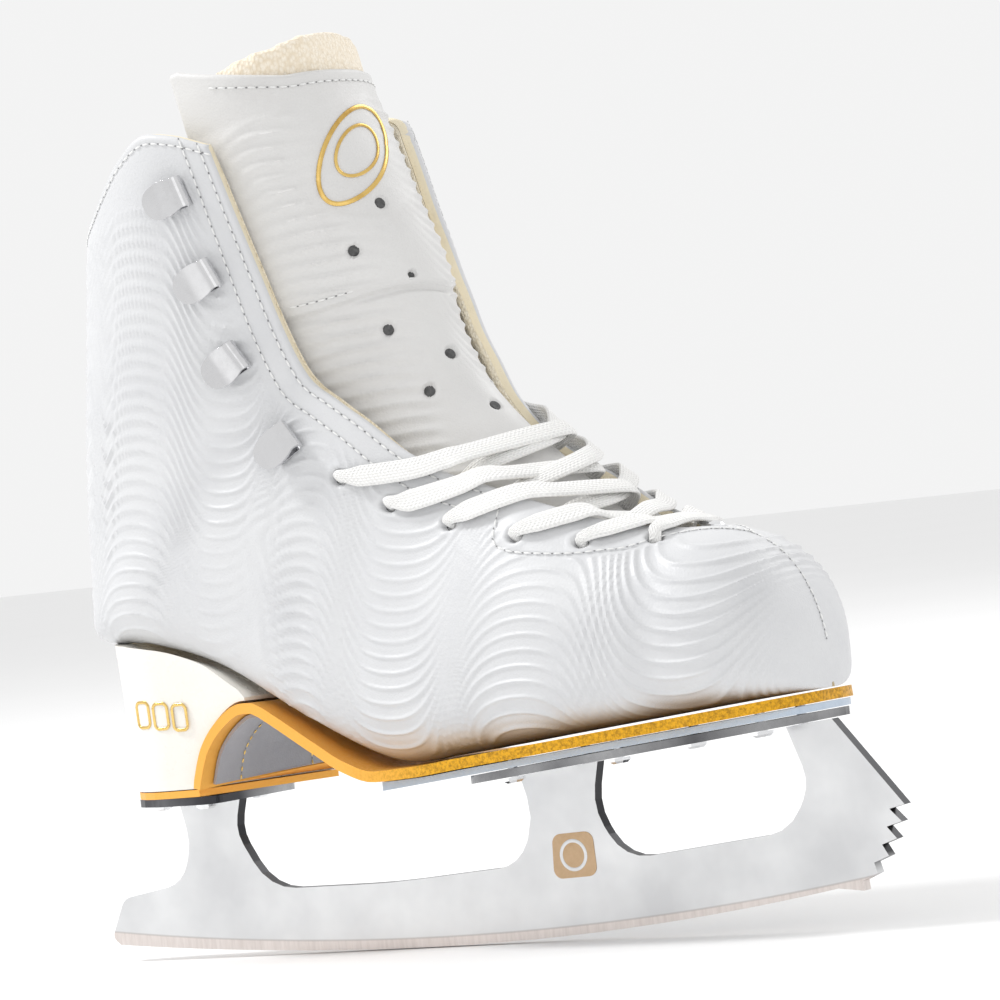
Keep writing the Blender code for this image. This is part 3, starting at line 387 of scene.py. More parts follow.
def place(route):
    """Points in space of a route in surface places."""
    made = []
    for s, a, depth in route:
        angle = max(abs(a), 0.3)
        made.append(boot_at(np.array(s), np.array(angle), 1 if a >= 0 else -1, np.array(float(depth)))[0])
    return np.array(made)


def smooth_route(points, spacing):
    """Points every spacing millimetres along the smooth curve through points."""
    t = np.linspace(0, len(points) - 1, 40 * len(points))
    fine = through(points, t)
    run = np.concatenate([[0], np.cumsum(np.linalg.norm(np.diff(fine, axis=0), axis=1))])
    count = max(2, int(run[-1] / spacing))
    at = np.linspace(0, run[-1], count + 1)
    return np.stack([np.interp(at, run, fine[:, k]) for k in range(3)], axis=-1)


HANK_X = (82.0, 180.0)
HANK_HALF = 24.0
HANK_HOLLOW = 13.5        # half width of the hollow in its middle
HANK_TALL = 7.4
AGLET_X = (120.0, 118.0)  # where the lateral and the medial aglet start
HANK_RISE = 13.8          # height of the lower hank's underside over the feather line


def hank_base(level):
    """Height of a hank's underside over the straight line of the forefoot."""
    return HANK_RISE + level * (HANK_TALL + GAP)


def floor_line(x):
    """Straight line of the forefoot's feather line."""
    return 60.3 + SOLE_RISE * (x - SOLE_X)


def tail_route(side):
    """A lace end's way from the top eyelet's inside, past the tongue's wing and down to its hank."""
    s, a = EYELETS[-1][0], angle_of(EYELETS[-1], side)
    wing = float(curve_y(TONGUE_REACH[side], np.array(s)))
    level = 0 if side < 0 else 1
    end_x = HANK_X[0] + 18.0
    end = np.array((end_x, side * (HANK_HALF + 0.6), floor_line(end_x) + hank_base(level) + HANK_TALL / 2))
    wall = place([(s, side * (a + 1.0), 7.2), (s + 0.02, side * (a + 4.0), 7.7), (s, side * (wing + 2.5), 8.2),
                  (s - 0.5, side * (wing + 13.0), 8.8), (s - 1.2, side * (wing + 25.0), 9.4),
                  (s - 2.0, side * (wing + 38.0), 10.0)])
    return np.vstack([wall, end + (-12.0, side * 1.8, 5.0), end])


SOLE_PLATE = [(101.0, 30.0, 5), (140.0, 31.0, 40), (186.0, 26.0, 40), (213.0, 15.0, 10)]
HEEL_PLATE = [(-38.0, 15.0, 14), (-22.0, 22.0, 20), (1.0, 24.0, 5)]
SOLE_SCREWS = [(113.0, 21.0), (113.0, -21.0), (152.0, 22.0), (152.0, -22.0), (196.0, 12.0), (196.0, -12.0)]
HEEL_SCREWS = [(-9.0, 14.0), (-9.0, -14.0), (-30.0, 10.0), (-30.0, -10.0)]




SECTIONS[6:10, 8] = (4.0, 4.6, 4.2, 3.0)    # leather is lasted square over the heel seat


# ---- meshes and materials -------------------------------------------------------------------
def put(name, points, faces, look, smooth=50.0, uv=None, body="boot"):
    """Object from points in millimetres that rides on a body."""
    mesh = bpy.data.meshes.new(name)
    local = (np.asarray(points, float).reshape(-1, 3) + ORIGIN) * MM
    mesh.from_pydata(local.tolist(), [], [list(map(int, f)) for f in faces])
    mesh.materials.append(look)
    obj = bpy.data.objects.new(name, mesh)
    bpy.context.scene.collection.objects.link(obj)
    mesh.calc_loop_triangles()
    corners = np.empty(len(mesh.loop_triangles) * 3, int)
    mesh.loop_triangles.foreach_get("vertices", corners)
    a, b, c = (local[corners[k::3]] for k in range(3))
    middle = local.mean(axis=0)
    if np.einsum("ij,ij->i", a - middle, np.cross(b - middle, c - middle)).sum() < 0:
        mesh.flip_normals()
    if uv is not None:
        layer = mesh.uv_layers.new(name="UVMap")
        index = np.empty(len(mesh.loops), int)
        mesh.loops.foreach_get("vertex_index", index)
        layer.data.foreach_set("uv", np.asarray(uv, float).reshape(-1, 2)[index].ravel())
    mesh.shade_smooth()
    mesh.set_sharp_from_angle(angle=math.radians(smooth))
    if body:
        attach(obj, body)
    return obj


def quads(rows, columns, start=0, wrap=False):
    """Faces of a grid of points; wrap joins the last column to the first."""
    i = np.arange(rows - 1)[:, None]
    j = np.arange(columns if wrap else columns - 1)[None]
    k = (j + 1) % columns
    return np.stack([start + i * columns + j, start + i * columns + k,
                     start + (i + 1) * columns + k, start + (i + 1) * columns + j], axis=-1).reshape(-1, 4)


def rim_index(rows, columns):
    rim = [(0, j) for j in range(columns)] + [(i, columns - 1) for i in range(1, rows)]
    rim += [(rows - 1, j) for j in range(columns - 2, -1, -1)] + [(i, 0) for i in range(rows - 2, 0, -1)]
    return np.array([i * columns + j for i, j in rim])


def between(name, near, far, look, smooth=50.0, uv=None, body="boot", layers=1):
    """Closed solid between two grids of points, its rim in layers steps."""
    rows, columns = near.shape[:2]
    count = rows * columns
    rim = rim_index(rows, columns)
    flat_near, flat_far = near.reshape(-1, 3), far.reshape(-1, 3)
    points = [flat_near, flat_far]
    faces = [quads(rows, columns), quads(rows, columns, count)[:, ::-1]]
    loops = [rim]
    start = 2 * count
    for k in range(1, layers):
        points.append(flat_near[rim] + (flat_far[rim] - flat_near[rim]) * k / layers)
        loops.append(np.arange(start, start + len(rim)))
        start += len(rim)
    loops.append(rim + count)
    for one, two in zip(loops, loops[1:]):
        faces.append(np.stack([np.roll(one, -1), one, two, np.roll(two, -1)], axis=-1))
    if uv is not None:
        flat = np.asarray(uv, float).reshape(-1, 2)
        uv = np.concatenate([flat, flat] + [flat[rim]] * (layers - 1))
    return put(name, np.concatenate(points), np.concatenate(faces), look, smooth, uv, body)


def swept(name, centre, across, up, profile, look, smooth=60.0, body="boot", scale=None, uv_width=1.0):
    """Solid swept along centre; profile is (across, up) pairs, and scale one (across, up) pair for each point."""
    scale = np.ones((len(centre), 2)) if scale is None else np.asarray(scale)
    profile = np.asarray(profile)
    rings = (centre[:, None] + across[:, None] * (profile[None, :, :1] * scale[:, None, :1])
             + up[:, None] * (profile[None, :, 1:] * scale[:, None, 1:]))
    size = len(profile)
    faces = quads(len(centre), size, 0, True).tolist()
    faces += [list(range(size))[::-1], list(range((len(centre) - 1) * size, len(centre) * size))]
    run = np.concatenate([[0], np.cumsum(np.linalg.norm(np.diff(centre, axis=0), axis=1))])
    uv = np.stack(np.broadcast_arrays(profile[None, :, 0] * uv_width, run[:, None]), axis=-1)
    return put(name, rings, faces, look, smooth, uv, body)


class Nodes:
    """A material's node tree with short calls for the nodes used here."""

    def __init__(self, name, colour, rough, metallic=0.0):
        self.look = bpy.data.materials.new(name)
        self.look.use_nodes = True
        self.look.diffuse_color = (*colour, 1.0)
        self.tree = self.look.node_tree
        self.shader = self.tree.nodes["Principled BSDF"]
        self.shader.inputs["Base Color"].default_value = (*colour, 1.0)
        self.shader.inputs["Roughness"].default_value = rough
        self.shader.inputs["Metallic"].default_value = metallic
        self.where = self.tree.nodes.new("ShaderNodeTexCoord")
        self.normal = None

    def node(self, kind, inputs=(), **values):
        made = self.tree.nodes.new(kind)
        for key, value in values.items():
            setattr(made, key, value)
        for key, value in dict(inputs).items():
            if isinstance(value, bpy.types.NodeSocket):
                self.tree.links.new(value, made.inputs[key])
            else:
                made.inputs[key].default_value = value
        return made

    def noise(self, scale, detail=2.0, rough=0.5, stretch=(1, 1, 1), source="Object"):
        space = self.node("ShaderNodeMapping", {"Vector": self.where.outputs[source], "Scale": stretch})
        return self.node("ShaderNodeTexNoise", {"Vector": space.outputs[0], "Scale": scale, "Detail": detail,
                                                "Roughness": rough}).outputs["Fac"]

    def cells(self, scale, feature="F1", stretch=(1, 1, 1), source="Object"):
        space = self.node("ShaderNodeMapping", {"Vector": self.where.outputs[source], "Scale": stretch})
        return self.node("ShaderNodeTexVoronoi", {"Vector": space.outputs[0], "Scale": scale},
                         feature=feature).outputs["Distance"]

    def maths(self, operation, a, b=0.0, c=0.0):
        made = self.node("ShaderNodeMath", {0: a, 1: b, 2: c}, operation=operation)
        return made.outputs[0]

    def span(self, value, low, high, to_low=0.0, to_high=1.0):
        return self.node("ShaderNodeMapRange", {"Value": value, "From Min": low, "From Max": high,
                                                "To Min": to_low, "To Max": to_high}).outputs[0]

    def blend(self, share, one, two):
        made = self.node("ShaderNodeMix", data_type="RGBA")
        for socket, value in ((made.inputs[0], share), (made.inputs[6], one), (made.inputs[7], two)):
            if isinstance(value, bpy.types.NodeSocket):
                self.tree.links.new(value, socket)
            else:
                socket.default_value = value if isinstance(value, (int, float)) else (*value, 1.0)
        return made.outputs[2]

    def bump(self, height, depth, strength=1.0):
        inputs = {"Height": height, "Distance": depth, "Strength": strength}
        if self.normal is not None:
            inputs["Normal"] = self.normal
        self.normal = self.node("ShaderNodeBump", inputs).outputs[0]
        self.tree.links.new(self.normal, self.shader.inputs["Normal"])

    def colour(self, socket):
        self.tree.links.new(socket, self.shader.inputs["Base Color"])

    def rough(self, socket):
        self.tree.links.new(socket, self.shader.inputs["Roughness"])

    def narrow_face(self, axis):
        """1 on faces that are turned away from an axis, and 0 on those that look along it."""
        facing_ = self.node("ShaderNodeNewGeometry").outputs["Normal"]
        part = self.node("ShaderNodeSeparateXYZ", {0: facing_}).outputs[axis]
        return self.span(self.maths("ABSOLUTE", part), 0.75, 0.35)

    def set(self, **values):
        for key, value in values.items():
            self.shader.inputs[key.replace("_", " ")].default_value = value
        return self


def leather_look(name, light, dark, rough, grain=1500.0, depth=0.00012):
    n = Nodes(name, light, rough)
    tint = n.noise(35.0, 3.0)
    fine = n.noise(420.0, 2.0)
    n.colour(n.blend(n.maths("MULTIPLY", n.span(tint, 0.35, 0.7), n.span(fine, 0.3, 0.7, 0.5, 1.0)), light, dark))
    n.rough(n.span(n.noise(160.0, 3.0), 0.3, 0.7, rough - 0.07, rough + 0.09))
    n.bump(n.cells(grain), depth, 0.55)
    n.bump(n.noise(grain * 0.35, 3.0), depth * 1.2, 0.45)
    n.bump(n.noise(45.0, 2.0), 0.0004, 0.25)
    n.set(Coat_Weight=0.12, Coat_Roughness=0.35)
    return n.look


def knit_look(name, light, dark, pitch=0.0011):
    n = Nodes(name, light, 0.9)
    loops = n.cells(1.0 / pitch, "F1", (1.0, 1.0, 0.72))
    n.colour(n.blend(n.maths("MULTIPLY", n.span(loops, 0.25, 0.75), n.span(n.noise(60.0, 3.0), 0.3, 0.7, 0.55, 1.0)),
                     light, dark))
    n.bump(loops, 0.00055, 0.8)
    n.bump(n.noise(2600.0, 2.0), 0.0001, 0.6)
    n.set(Sheen_Weight=0.25, Sheen_Roughness=0.5)
    return n.look


def lace_look(name, light, dark):
    """Flat weave: slanted ribs that mirror each other on the two halves of the width."""
    n = Nodes(name, light, 0.85)
    parts = n.node("ShaderNodeSeparateXYZ", {0: n.where.outputs["UV"]})
    side = n.maths("ABSOLUTE", parts.outputs[0])
    slant = n.maths("ADD", n.maths("MULTIPLY", parts.outputs[1], 4.6), n.maths("MULTIPLY", side, 3.2))
    rib = n.maths("SINE", slant)
    along = n.maths("SINE", n.maths("MULTIPLY", parts.outputs[0], 7.2))
    weave = n.maths("ADD", n.maths("MULTIPLY", rib, 0.5), n.maths("MULTIPLY", along, 0.5))
    # the colour is darker in the weave's low grooves: painted shade in the grooves
    n.colour(n.blend(n.maths("MULTIPLY", n.span(weave, 0.2, -1.0), 0.8), light, dark))
    n.bump(weave, 0.00022, 0.8)
    n.bump(n.noise(2400.0, 3.0), 0.00015, 0.6)
    n.set(Sheen_Weight=0.2, Sheen_Roughness=0.5)
    return n.look


def metal_look(name, light, dark, rough, stretch=(1, 1, 1), scale=500.0, depth=0.00002, metallic=1.0):
    n = Nodes(name, light, rough, metallic)
    lines = n.noise(scale, 4.0, 0.6, stretch)
    cloud = n.noise(30.0, 3.0)
    n.colour(n.blend(n.maths("MULTIPLY", n.span(cloud, 0.3, 0.7), n.span(lines, 0.3, 0.7, 0.3, 1.0)), light, dark))
    n.rough(n.span(lines, 0.3, 0.7, max(rough - 0.06, 0.02), rough + 0.08))
    n.bump(lines, depth, 0.5)
    return n.look


def gold_look(name):
    n = Nodes(name, (0.85, 0.47, 0.06), 0.42, 0.55)
    speckle = n.noise(900.0, 4.0, 0.7)
    # the arch is plain orange-gold and the forefoot is darker and speckled
    along = n.node("ShaderNodeSeparateXYZ", {0: n.where.outputs["Object"]}).outputs[0]
    fore = n.span(along, -0.030, 0.010)
    spots = n.maths("MULTIPLY", n.span(speckle, 0.42, 0.62), fore)
    plain = n.blend(fore, (0.93, 0.47, 0.09), (0.78, 0.40, 0.015))
    n.colour(n.blend(spots, plain, (0.42, 0.21, 0.01)))
    n.rough(n.span(speckle, 0.3, 0.7, 0.3, 0.55))
    n.bump(speckle, 0.00012, 0.6)
    return n.look


# Flat dark material for painted shade: the shade inside small holes, painted as colour.
def painted_shade_look(name, colour):
    n = Nodes(name, colour, 0.8)
    n.colour(n.blend(n.span(n.noise(900.0, 2.0), 0.3, 0.7), colour, tuple(c * 0.5 for c in colour)))
    return n.look


WHITE = leather_look("boot_leather", (0.66, 0.665, 0.675), (0.615, 0.62, 0.635), 0.46)
EDGE = leather_look("cut_edge", (0.84, 0.76, 0.58), (0.76, 0.67, 0.48), 0.75, 2200.0)
TONGUE = leather_look("tongue_leather", (0.69, 0.685, 0.675), (0.645, 0.635, 0.625), 0.48)
CREAM = knit_look("cream_knit", (0.92, 0.84, 0.71), (0.80, 0.69, 0.53))
LINING_LOOK = knit_look("lining_knit", (0.90, 0.83, 0.68), (0.74, 0.65, 0.48), 0.0008)
LACE_LOOK = lace_look("lace_weave", (0.92, 0.915, 0.90), (0.78, 0.775, 0.76))
GOLD = gold_look("gold_edge_paint")
HEEL = leather_look("heel_lacquer", (0.88, 0.855, 0.80), (0.83, 0.80, 0.74), 0.28, 2500.0, 0.00003)
GREY = leather_look("breast_leather", (0.36, 0.36, 0.385), (0.28, 0.28, 0.30), 0.5, 1500.0, 0.00008)
OUTSOLE = leather_look("outsole_wax", (0.52, 0.60, 0.70), (0.42, 0.50, 0.60), 0.45)
CHROME = metal_look("polished_chrome", (0.86, 0.865, 0.875), (0.78, 0.785, 0.80), 0.09)
HOOK = metal_look("hook_chrome", (0.74, 0.74, 0.75), (0.62, 0.62, 0.63), 0.14)
THREAD = leather_look("thread", (0.86, 0.86, 0.85), (0.75, 0.75, 0.74), 0.6, 4000.0)
# Needle holes: dark grey marks of painted shade between the stitches.
NEEDLE_HOLE_SHADE = painted_shade_look("needle_hole_shade", (0.33, 0.33, 0.335))
# Tongue perforations: near-black discs of painted shade inside the punched holes.
PERFORATION_SHADE = painted_shade_look("punched_hole_shade", (0.12, 0.12, 0.12))
GOLD_FOIL = metal_look("gold_foil", (0.86, 0.62, 0.22), (0.45, 0.25, 0.05), 0.22, scale=260.0)
BOARD = leather_look("fibre_board", (0.46, 0.33, 0.20), (0.36, 0.25, 0.15), 0.8, 900.0)


def blade_look():
    """Satin sides with a brighter cloudy painted sheen, the tan ground band that follows the rocker, and narrow faces
    painted near-black as painted reflection and shade.
    """
    n = Nodes("blade_satin", (0.86, 0.865, 0.87), 0.3, 1.0)
    parts = n.node("ShaderNodeSeparateXYZ", {0: n.where.outputs["Object"]})
    x = n.maths("SUBTRACT", parts.outputs[0], (62.0 + ORIGIN[0]) * MM)
    rise = n.maths("MULTIPLY", n.maths("MULTIPLY", x, x), 0.5 / 1.10)
    height = n.maths("SUBTRACT", parts.outputs[2], rise)
    band = n.span(height, 0.0031, 0.0027)
    line = n.maths("MULTIPLY", n.span(height, 0.0025, 0.0029), n.span(height, 0.0034, 0.0030))
    cloud = n.noise(26.0, 4.0, 0.6)
    scratch = n.noise(900.0, 3.0, 0.6, (1.0, 1.0, 0.12))
    # the bright and dark clouds on the sides are a painted sheen
    side = n.blend(n.span(cloud, 0.35, 0.7), (0.76, 0.765, 0.77), (0.64, 0.645, 0.655))
    ground = n.blend(n.span(scratch, 0.3, 0.7), (0.76, 0.70, 0.67), (0.66, 0.60, 0.57))
    # narrow faces above the ground band are painted near-black: painted reflection and shade
    edge = n.maths("MULTIPLY", n.narrow_face(1), n.span(height, 0.004, 0.009))
    body_ = n.blend(edge, n.blend(band, side, ground), (0.035, 0.035, 0.038))
    n.colour(n.blend(n.maths("MULTIPLY", line, 0.5), body_, (0.38, 0.34, 0.32)))
    n.rough(n.span(cloud, 0.3, 0.7, 0.26, 0.40))
    n.bump(scratch, 0.00002, 0.4)
    return n.look


def plate_look():
    """Polished plate whose narrow edges are painted near-black: a painted reflection of a dark room."""
    n = Nodes("plate_chrome", (0.86, 0.865, 0.875), 0.12, 1.0)
    lines = n.noise(400.0, 4.0, 0.6)
    broad = n.noise(18.0, 2.0)
    bright = n.blend(n.span(lines, 0.3, 0.7), (0.88, 0.885, 0.89), (0.80, 0.805, 0.815))
    # narrow faces are painted near-black: painted reflection
    n.colour(n.blend(n.maths("MULTIPLY", n.narrow_face(2), n.span(broad, 0.35, 0.6, 0.55, 1.0)), bright,
                     (0.05, 0.05, 0.055)))
    n.rough(n.span(lines, 0.3, 0.7, 0.08, 0.18))
    n.bump(lines, 0.00002, 0.4)
    return n.look


BLADE = blade_look()
PLATE = plate_look()


# ---- camera, light and floor ----------------------------------------------------------------
def photo_camera():
    """Camera at the photograph's viewing angle: turned toward the toe, level, and rolled a little."""
    turn, roll, distance, focal = math.radians(33.5), math.radians(6.2), 1500.0, 4875.0
    anchor = np.array((0.0, 0.0, 46.0))
    right = np.array((math.cos(turn), math.sin(turn), 0.0))
    ahead = np.array((-math.sin(turn), math.cos(turn), 0.0))
    up = np.array((0.0, 0.0, 1.0))
    across = math.cos(roll) * right - math.sin(roll) * up
    upright = math.sin(roll) * right + math.cos(roll) * up
    u, v = (255.7 - 500.0) / focal, -(796.0 - 500.0) / focal
    place_ = anchor - (distance + 50.0) * (ahead + u * across + v * upright)
    place_ = (place_ + ORIGIN + (0, 0, 4.5)) * MM
    data = bpy.data.cameras.new("photo_camera")
    data.sensor_width = 36.0
    data.lens = 36.0 * focal / 1000.0
    data.clip_end = 100.0
    obj = bpy.data.objects.new("photo_camera", data)
    obj.matrix_world = Matrix([[*r, p] for r, p in zip(np.stack([across, upright, -ahead], axis=1), place_)]
                              + [[0, 0, 0, 1]])
    bpy.context.scene.collection.objects.link(obj)
    bpy.context.scene.camera = obj


def area(name, spot, size, power, colour=(1, 1, 1)):
    data = bpy.data.lights.new(name, "AREA")
    data.shape = "RECTANGLE"
    data.size, data.size_y = size
    data.energy = power
    data.color = colour
    obj = bpy.data.objects.new(name, data)
    obj.location = spot
    obj.rotation_euler = (Vector((0.0, 0.0, 0.13)) - Vector(spot)).to_track_quat("-Z", "Y").to_euler()
    bpy.context.scene.collection.objects.link(obj)


def studio():
    world = bpy.data.worlds.new("studio")
    bpy.context.scene.world = world
    world.use_nodes = True
    world.node_tree.nodes["Background"].inputs[0].default_value = (1.0, 1.0, 1.0, 1.0)
    world.node_tree.nodes["Background"].inputs[1].default_value = 0.90
    area("key", (-1.5, -0.7, 2.0), (0.5, 0.5), 36.0)
    area("fill", (1.9, -1.9, 0.9), (1.6, 1.6), 3.0)
    area("rim", (0.6, 2.2, 1.8), (1.6, 1.0), 14.0)
    bpy.context.scene.view_settings.view_transform = "Standard"
    floor = bpy.data.meshes.new("floor")
    turn = np.arange(64) * math.tau / 64
    rim = [(14.0 * math.cos(t), 14.0 * math.sin(t), -0.0004) for t in turn]
    floor.from_pydata(rim, [], [list(range(64))])
    n = Nodes("floor_paper", (0.90, 0.90, 0.90), 0.9)
    n.colour(n.blend(n.noise(3.0, 2.0), (0.90, 0.90, 0.90), (0.885, 0.885, 0.885)))
    floor.materials.append(n.look)
    obj = bpy.data.objects.new("floor", floor)
    bpy.context.scene.collection.objects.link(obj)


photo_camera()
studio()


# ---- laces ----------------------------------------------------------------------------------
def ribbon_profile(width, thick, count=20):
    """Rounded flat cross-section."""
    t = np.arange(count) * math.tau / count
    co, si = np.cos(t), np.sin(t)
    x = np.sign(co) * np.abs(co)**0.55 * width / 2
    y = np.sign(si) * np.abs(si)**0.8 * thick / 2
    return np.stack([x, y], axis=-1)


def route_frame(route):
    """Route in surface places as points with the direction up the boot at each."""
    rows = []
    for s, a, depth in route:
        angle, side = max(abs(a), 0.3), 1 if a >= 0 else -1
        p = boot_at(np.array(s), np.array(angle), side, np.array(float(depth)))[0]
        up = boot(s + 0.05, angle, side) - boot(s - 0.05, angle, side)
        up /= np.linalg.norm(up)
        rows.append([*p, *up])
    return np.array(rows)


def resample(rows, spacing):
    """Rows of points and anything that goes with them, every spacing millimetres."""
    t = np.linspace(0, len(rows) - 1, 60 * len(rows))
    fine = through(rows, t)
    run = np.concatenate([[0], np.cumsum(np.linalg.norm(np.diff(fine[:, :3], axis=0), axis=1))])
    at = np.linspace(0, run[-1], max(2, int(run[-1] / spacing)) + 1)
    return np.stack([np.interp(at, run, fine[:, k]) for k in range(fine.shape[1])], axis=-1)


def ribbon(name, rows, width, thick, scale=None):
    """Flat lace along rows of (point, width direction)."""
    centre = rows[:, :3]
    t = np.gradient(centre, axis=0)
    t /= np.linalg.norm(t, axis=1, keepdims=True)
    across = rows[:, 3:6] - t * np.einsum("ij,ij->i", rows[:, 3:6], t)[:, None]
    across /= np.maximum(np.linalg.norm(across, axis=1, keepdims=True), 1e-6)
    return swept(name, centre, across, np.cross(t, across), ribbon_profile(width, thick), LACE_LOOK, 80.0,
                 "boot", scale)


LACE_WIDTH, LACE_THICK = 6.5, 1.6


def laced():
    """The laced part, pinched where it goes through the holes."""
    rows = resample(route_frame(lace_route()), 0.9)
    holes = [boot_at(np.array(e[0]), np.array(angle_of(e, side)), side, np.array(1.5))[0]
             for side in (-1, 1) for e in EYELETS]
    away = np.min([np.linalg.norm(rows[:, :3] - h, axis=1) for h in holes], axis=0)
    loose = np.clip((away - 2.5) / 7.0, 0, 1)
    loose = loose * loose * (3 - 2 * loose)
    run = np.arange(len(rows)) * 0.9
    slack = 1 + 0.07 * np.sin(run / 17.0) + 0.04 * np.sin(run / 7.3 + 1.0)
    scale = np.stack([0.56 + 0.46 * loose * slack, 1.55 - 0.5 * loose * slack], axis=-1)
    return ribbon("lace_woven", rows, LACE_WIDTH, LACE_THICK, scale)


LANE_PITCH = 2.2
EXIT_RADIUS = 14.4


def even(rows, spacing):
    """Rows along the straight runs between rows of points, every spacing millimetres."""
    run = np.concatenate([[0], np.cumsum(np.linalg.norm(np.diff(rows[:, :3], axis=0), axis=1))])
    at = np.linspace(0, run[-1], int(run[-1] / spacing) + 1)
    return np.stack([np.interp(at, run, rows[:, k]) for k in range(rows.shape[1])], axis=-1)


def relaxed(rows, spacing, passes):
    """The way that a limp lace takes through rows of points, with no kinks."""
    rows = even(rows, spacing)
    for _ in range(passes):
        rows[1:-1] = (rows[:-2] + 2 * rows[1:-1] + rows[2:]) / 4
    return even(rows, spacing)


def lane(half, side, steps=24):
    """One turn round an oval, starting on its near straight side and going forward."""
    straight = HANK_X[1] - HANK_X[0] - 2 * HANK_HALF
    fore, rear = HANK_X[1] - HANK_HALF, HANK_X[0] + HANK_HALF
    turn = np.linspace(-math.pi / 2, math.pi / 2, steps)
    run = np.linspace(0, 1, 14)[1:-1]
    points = [(rear + straight * f, -half) for f in run]
    points += [(fore + half * math.cos(t), half * math.sin(t)) for t in turn]
    points += [(fore - straight * f, half) for f in run]
    points += [(rear - half * math.cos(t), -half * math.sin(t)) for t in turn]
    return np.array(points) * (1, -side)


def coil(side, start_x, level):
    """A lace end wound inward for two turns, and then the way out to its aglet."""
    turns = [lane(HANK_HALF - 1.0, side) for _ in range(2)]
    rows = np.concatenate(turns)
    keep = int(np.argmax(rows[:, 0] > start_x + 9.0))
    step = np.linalg.norm(np.diff(rows, axis=0, prepend=rows[:1]), axis=1)
    share = np.cumsum(step) / step.sum() * 2.0
    middle, half = (HANK_X[0] + HANK_X[1]) / 2, (HANK_X[1] - HANK_X[0]) / 2 - HANK_HALF
    core = np.stack([np.clip(rows[:, 0], middle - half, middle + half), np.zeros(len(rows))], axis=-1)
    out = rows - core
    out /= np.linalg.norm(out, axis=1, keepdims=True)
    rows = (rows - out * (LANE_PITCH * share)[:, None])[keep:]
    z = floor_line(rows[:, 0]) + hank_base(level) + HANK_TALL / 2
    if side < 0:
        cut_at = len(rows) - 12
        rows, z = rows[:cut_at], z[:cut_at]
        left = rows[-1, 0]
        beta = math.acos((EXIT_RADIUS + 2.0) / (2 * EXIT_RADIUS))
        turn = np.linspace(math.pi * 1.04, 1.5 * math.pi + beta, 14)
        centre = np.array((left + EXIT_RADIUS, 0.0))
        first = centre + EXIT_RADIUS * np.stack([np.cos(turn), np.sin(turn)], axis=-1)
        centre = centre + 2 * EXIT_RADIUS * np.array((math.cos(turn[-1]), math.sin(turn[-1])))
        turn = np.linspace(math.pi / 2 + beta, math.pi / 2, 8)[1:]
        second = centre + EXIT_RADIUS * np.stack([np.cos(turn), np.sin(turn)], axis=-1)
        way = np.concatenate([first, second])
        target = hank_base(0) + 1.5
        start_z = hank_base(0) + HANK_TALL / 2
    else:
        y = rows[-1, 1]
        way = np.array([(HANK_X[0] + HANK_HALF + 4.0 * k, y + (18.5 - y) * k / 3) for k in range(1, 4)])
        target = hank_base(2) + 1.5
        start_z = hank_base(1) + HANK_TALL / 2
        fade = np.clip(np.arange(len(rows)) - (len(rows) - 20), 0, 20) / 24.0
        rise = fade * fade * (3 - 2 * fade)
        z = z + rise * (target - start_z)
        start_z += float(rise[-1]) * (target - start_z)
    f = np.linspace(0, 1, len(way) + 1)[1:]
    way_z = floor_line(way[:, 0]) + start_z + (target - start_z) * f * f * (3 - 2 * f)
    return np.column_stack([np.concatenate([rows, way]), np.concatenate([z, way_z])])


def tails():
    """Both free ends, each with its aglet."""
    for side, word, level in ((-1, "lateral", 0), (1, "medial", 1)):
        wall = tail_route(side)
        upright = np.array((0.0, 0.0, 1.0))
        first = route_frame([(EYELETS[-1][0], side * angle_of(EYELETS[-1], side), 7.2)])[0, 3:]
        ways = [first * (1 - f) + upright * f for f in np.clip(np.arange(len(wall) - 1) / 3.0, 0, 1)]
        head = np.column_stack([wall[:-1], ways])[:-1]
        wound = coil(side, wall[-1][0], level)
        body = np.column_stack([wound, np.tile(upright, (len(wound), 1))])
        rows = relaxed(np.vstack([head, body]), 1.3, 60)
        left = (len(rows) - np.arange(len(rows))) * 1.3
        end = np.clip(left / 12.0, 0, 1)
        scale = np.stack([0.36 + 0.64 * end, 1.15 - 0.15 * end], axis=-1)
        obj = ribbon(f"lace_end_{word}", rows, LACE_WIDTH, LACE_THICK, scale)
        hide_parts(f"lace_tail_{word}", f"lace_hank_{word}")


WOVEN = laced()
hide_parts("lace")
tails()


# ---- the quarters ---------------------------------------------------------------------------
def run_along(grid, axis):
    """Distance from the first row or column along a grid."""
    step = np.linalg.norm(np.diff(grid, axis=axis), axis=-1)
    return np.concatenate([np.zeros_like(np.take(step, [0], axis)), np.cumsum(step, axis=axis)], axis=axis)


def smooth_step(value, low, high):
    f = np.clip((value - low) / (high - low), 0, 1)
    return f * f * (3 - 2 * f)


WAVES = np.array([(-90, -math.pi * 1.4), (-60, -math.pi), (-19, 0.0), (17.6, math.pi), (45, 2 * math.pi),
                  (86, 3 * math.pi), (136, 4 * math.pi), (189, 5 * math.pi), (240, 6 * math.pi)])
SWING = np.array([(-60, 18.0), (-19, 16.0), (17, 14.0), (45, 16.0), (90, 19.0), (136, 22.0), (240, 23.0)])
CONTOUR, RIDGE, RIDGE_HALF = 4.6, 0.80, 0.58


def ridges(x, z, swing, phase):
    """Height of the embossed contour lines at a place, from the wave's swing and phase there."""
    e = 0.5

    def level(x_, z_):
        wave = np.tanh(1.5 * np.cos(phase(x_))) / math.tanh(1.5)
        return (z_ - swing(x_) * wave) / CONTOUR

    here = level(x, z)
    slope = np.hypot((level(x + e, z) - here) / e, (level(x, z + e) - here) / e)
    away = np.abs(here - np.round(here)) / slope
    return RIDGE * np.exp(-(away / RIDGE_HALF)**2)


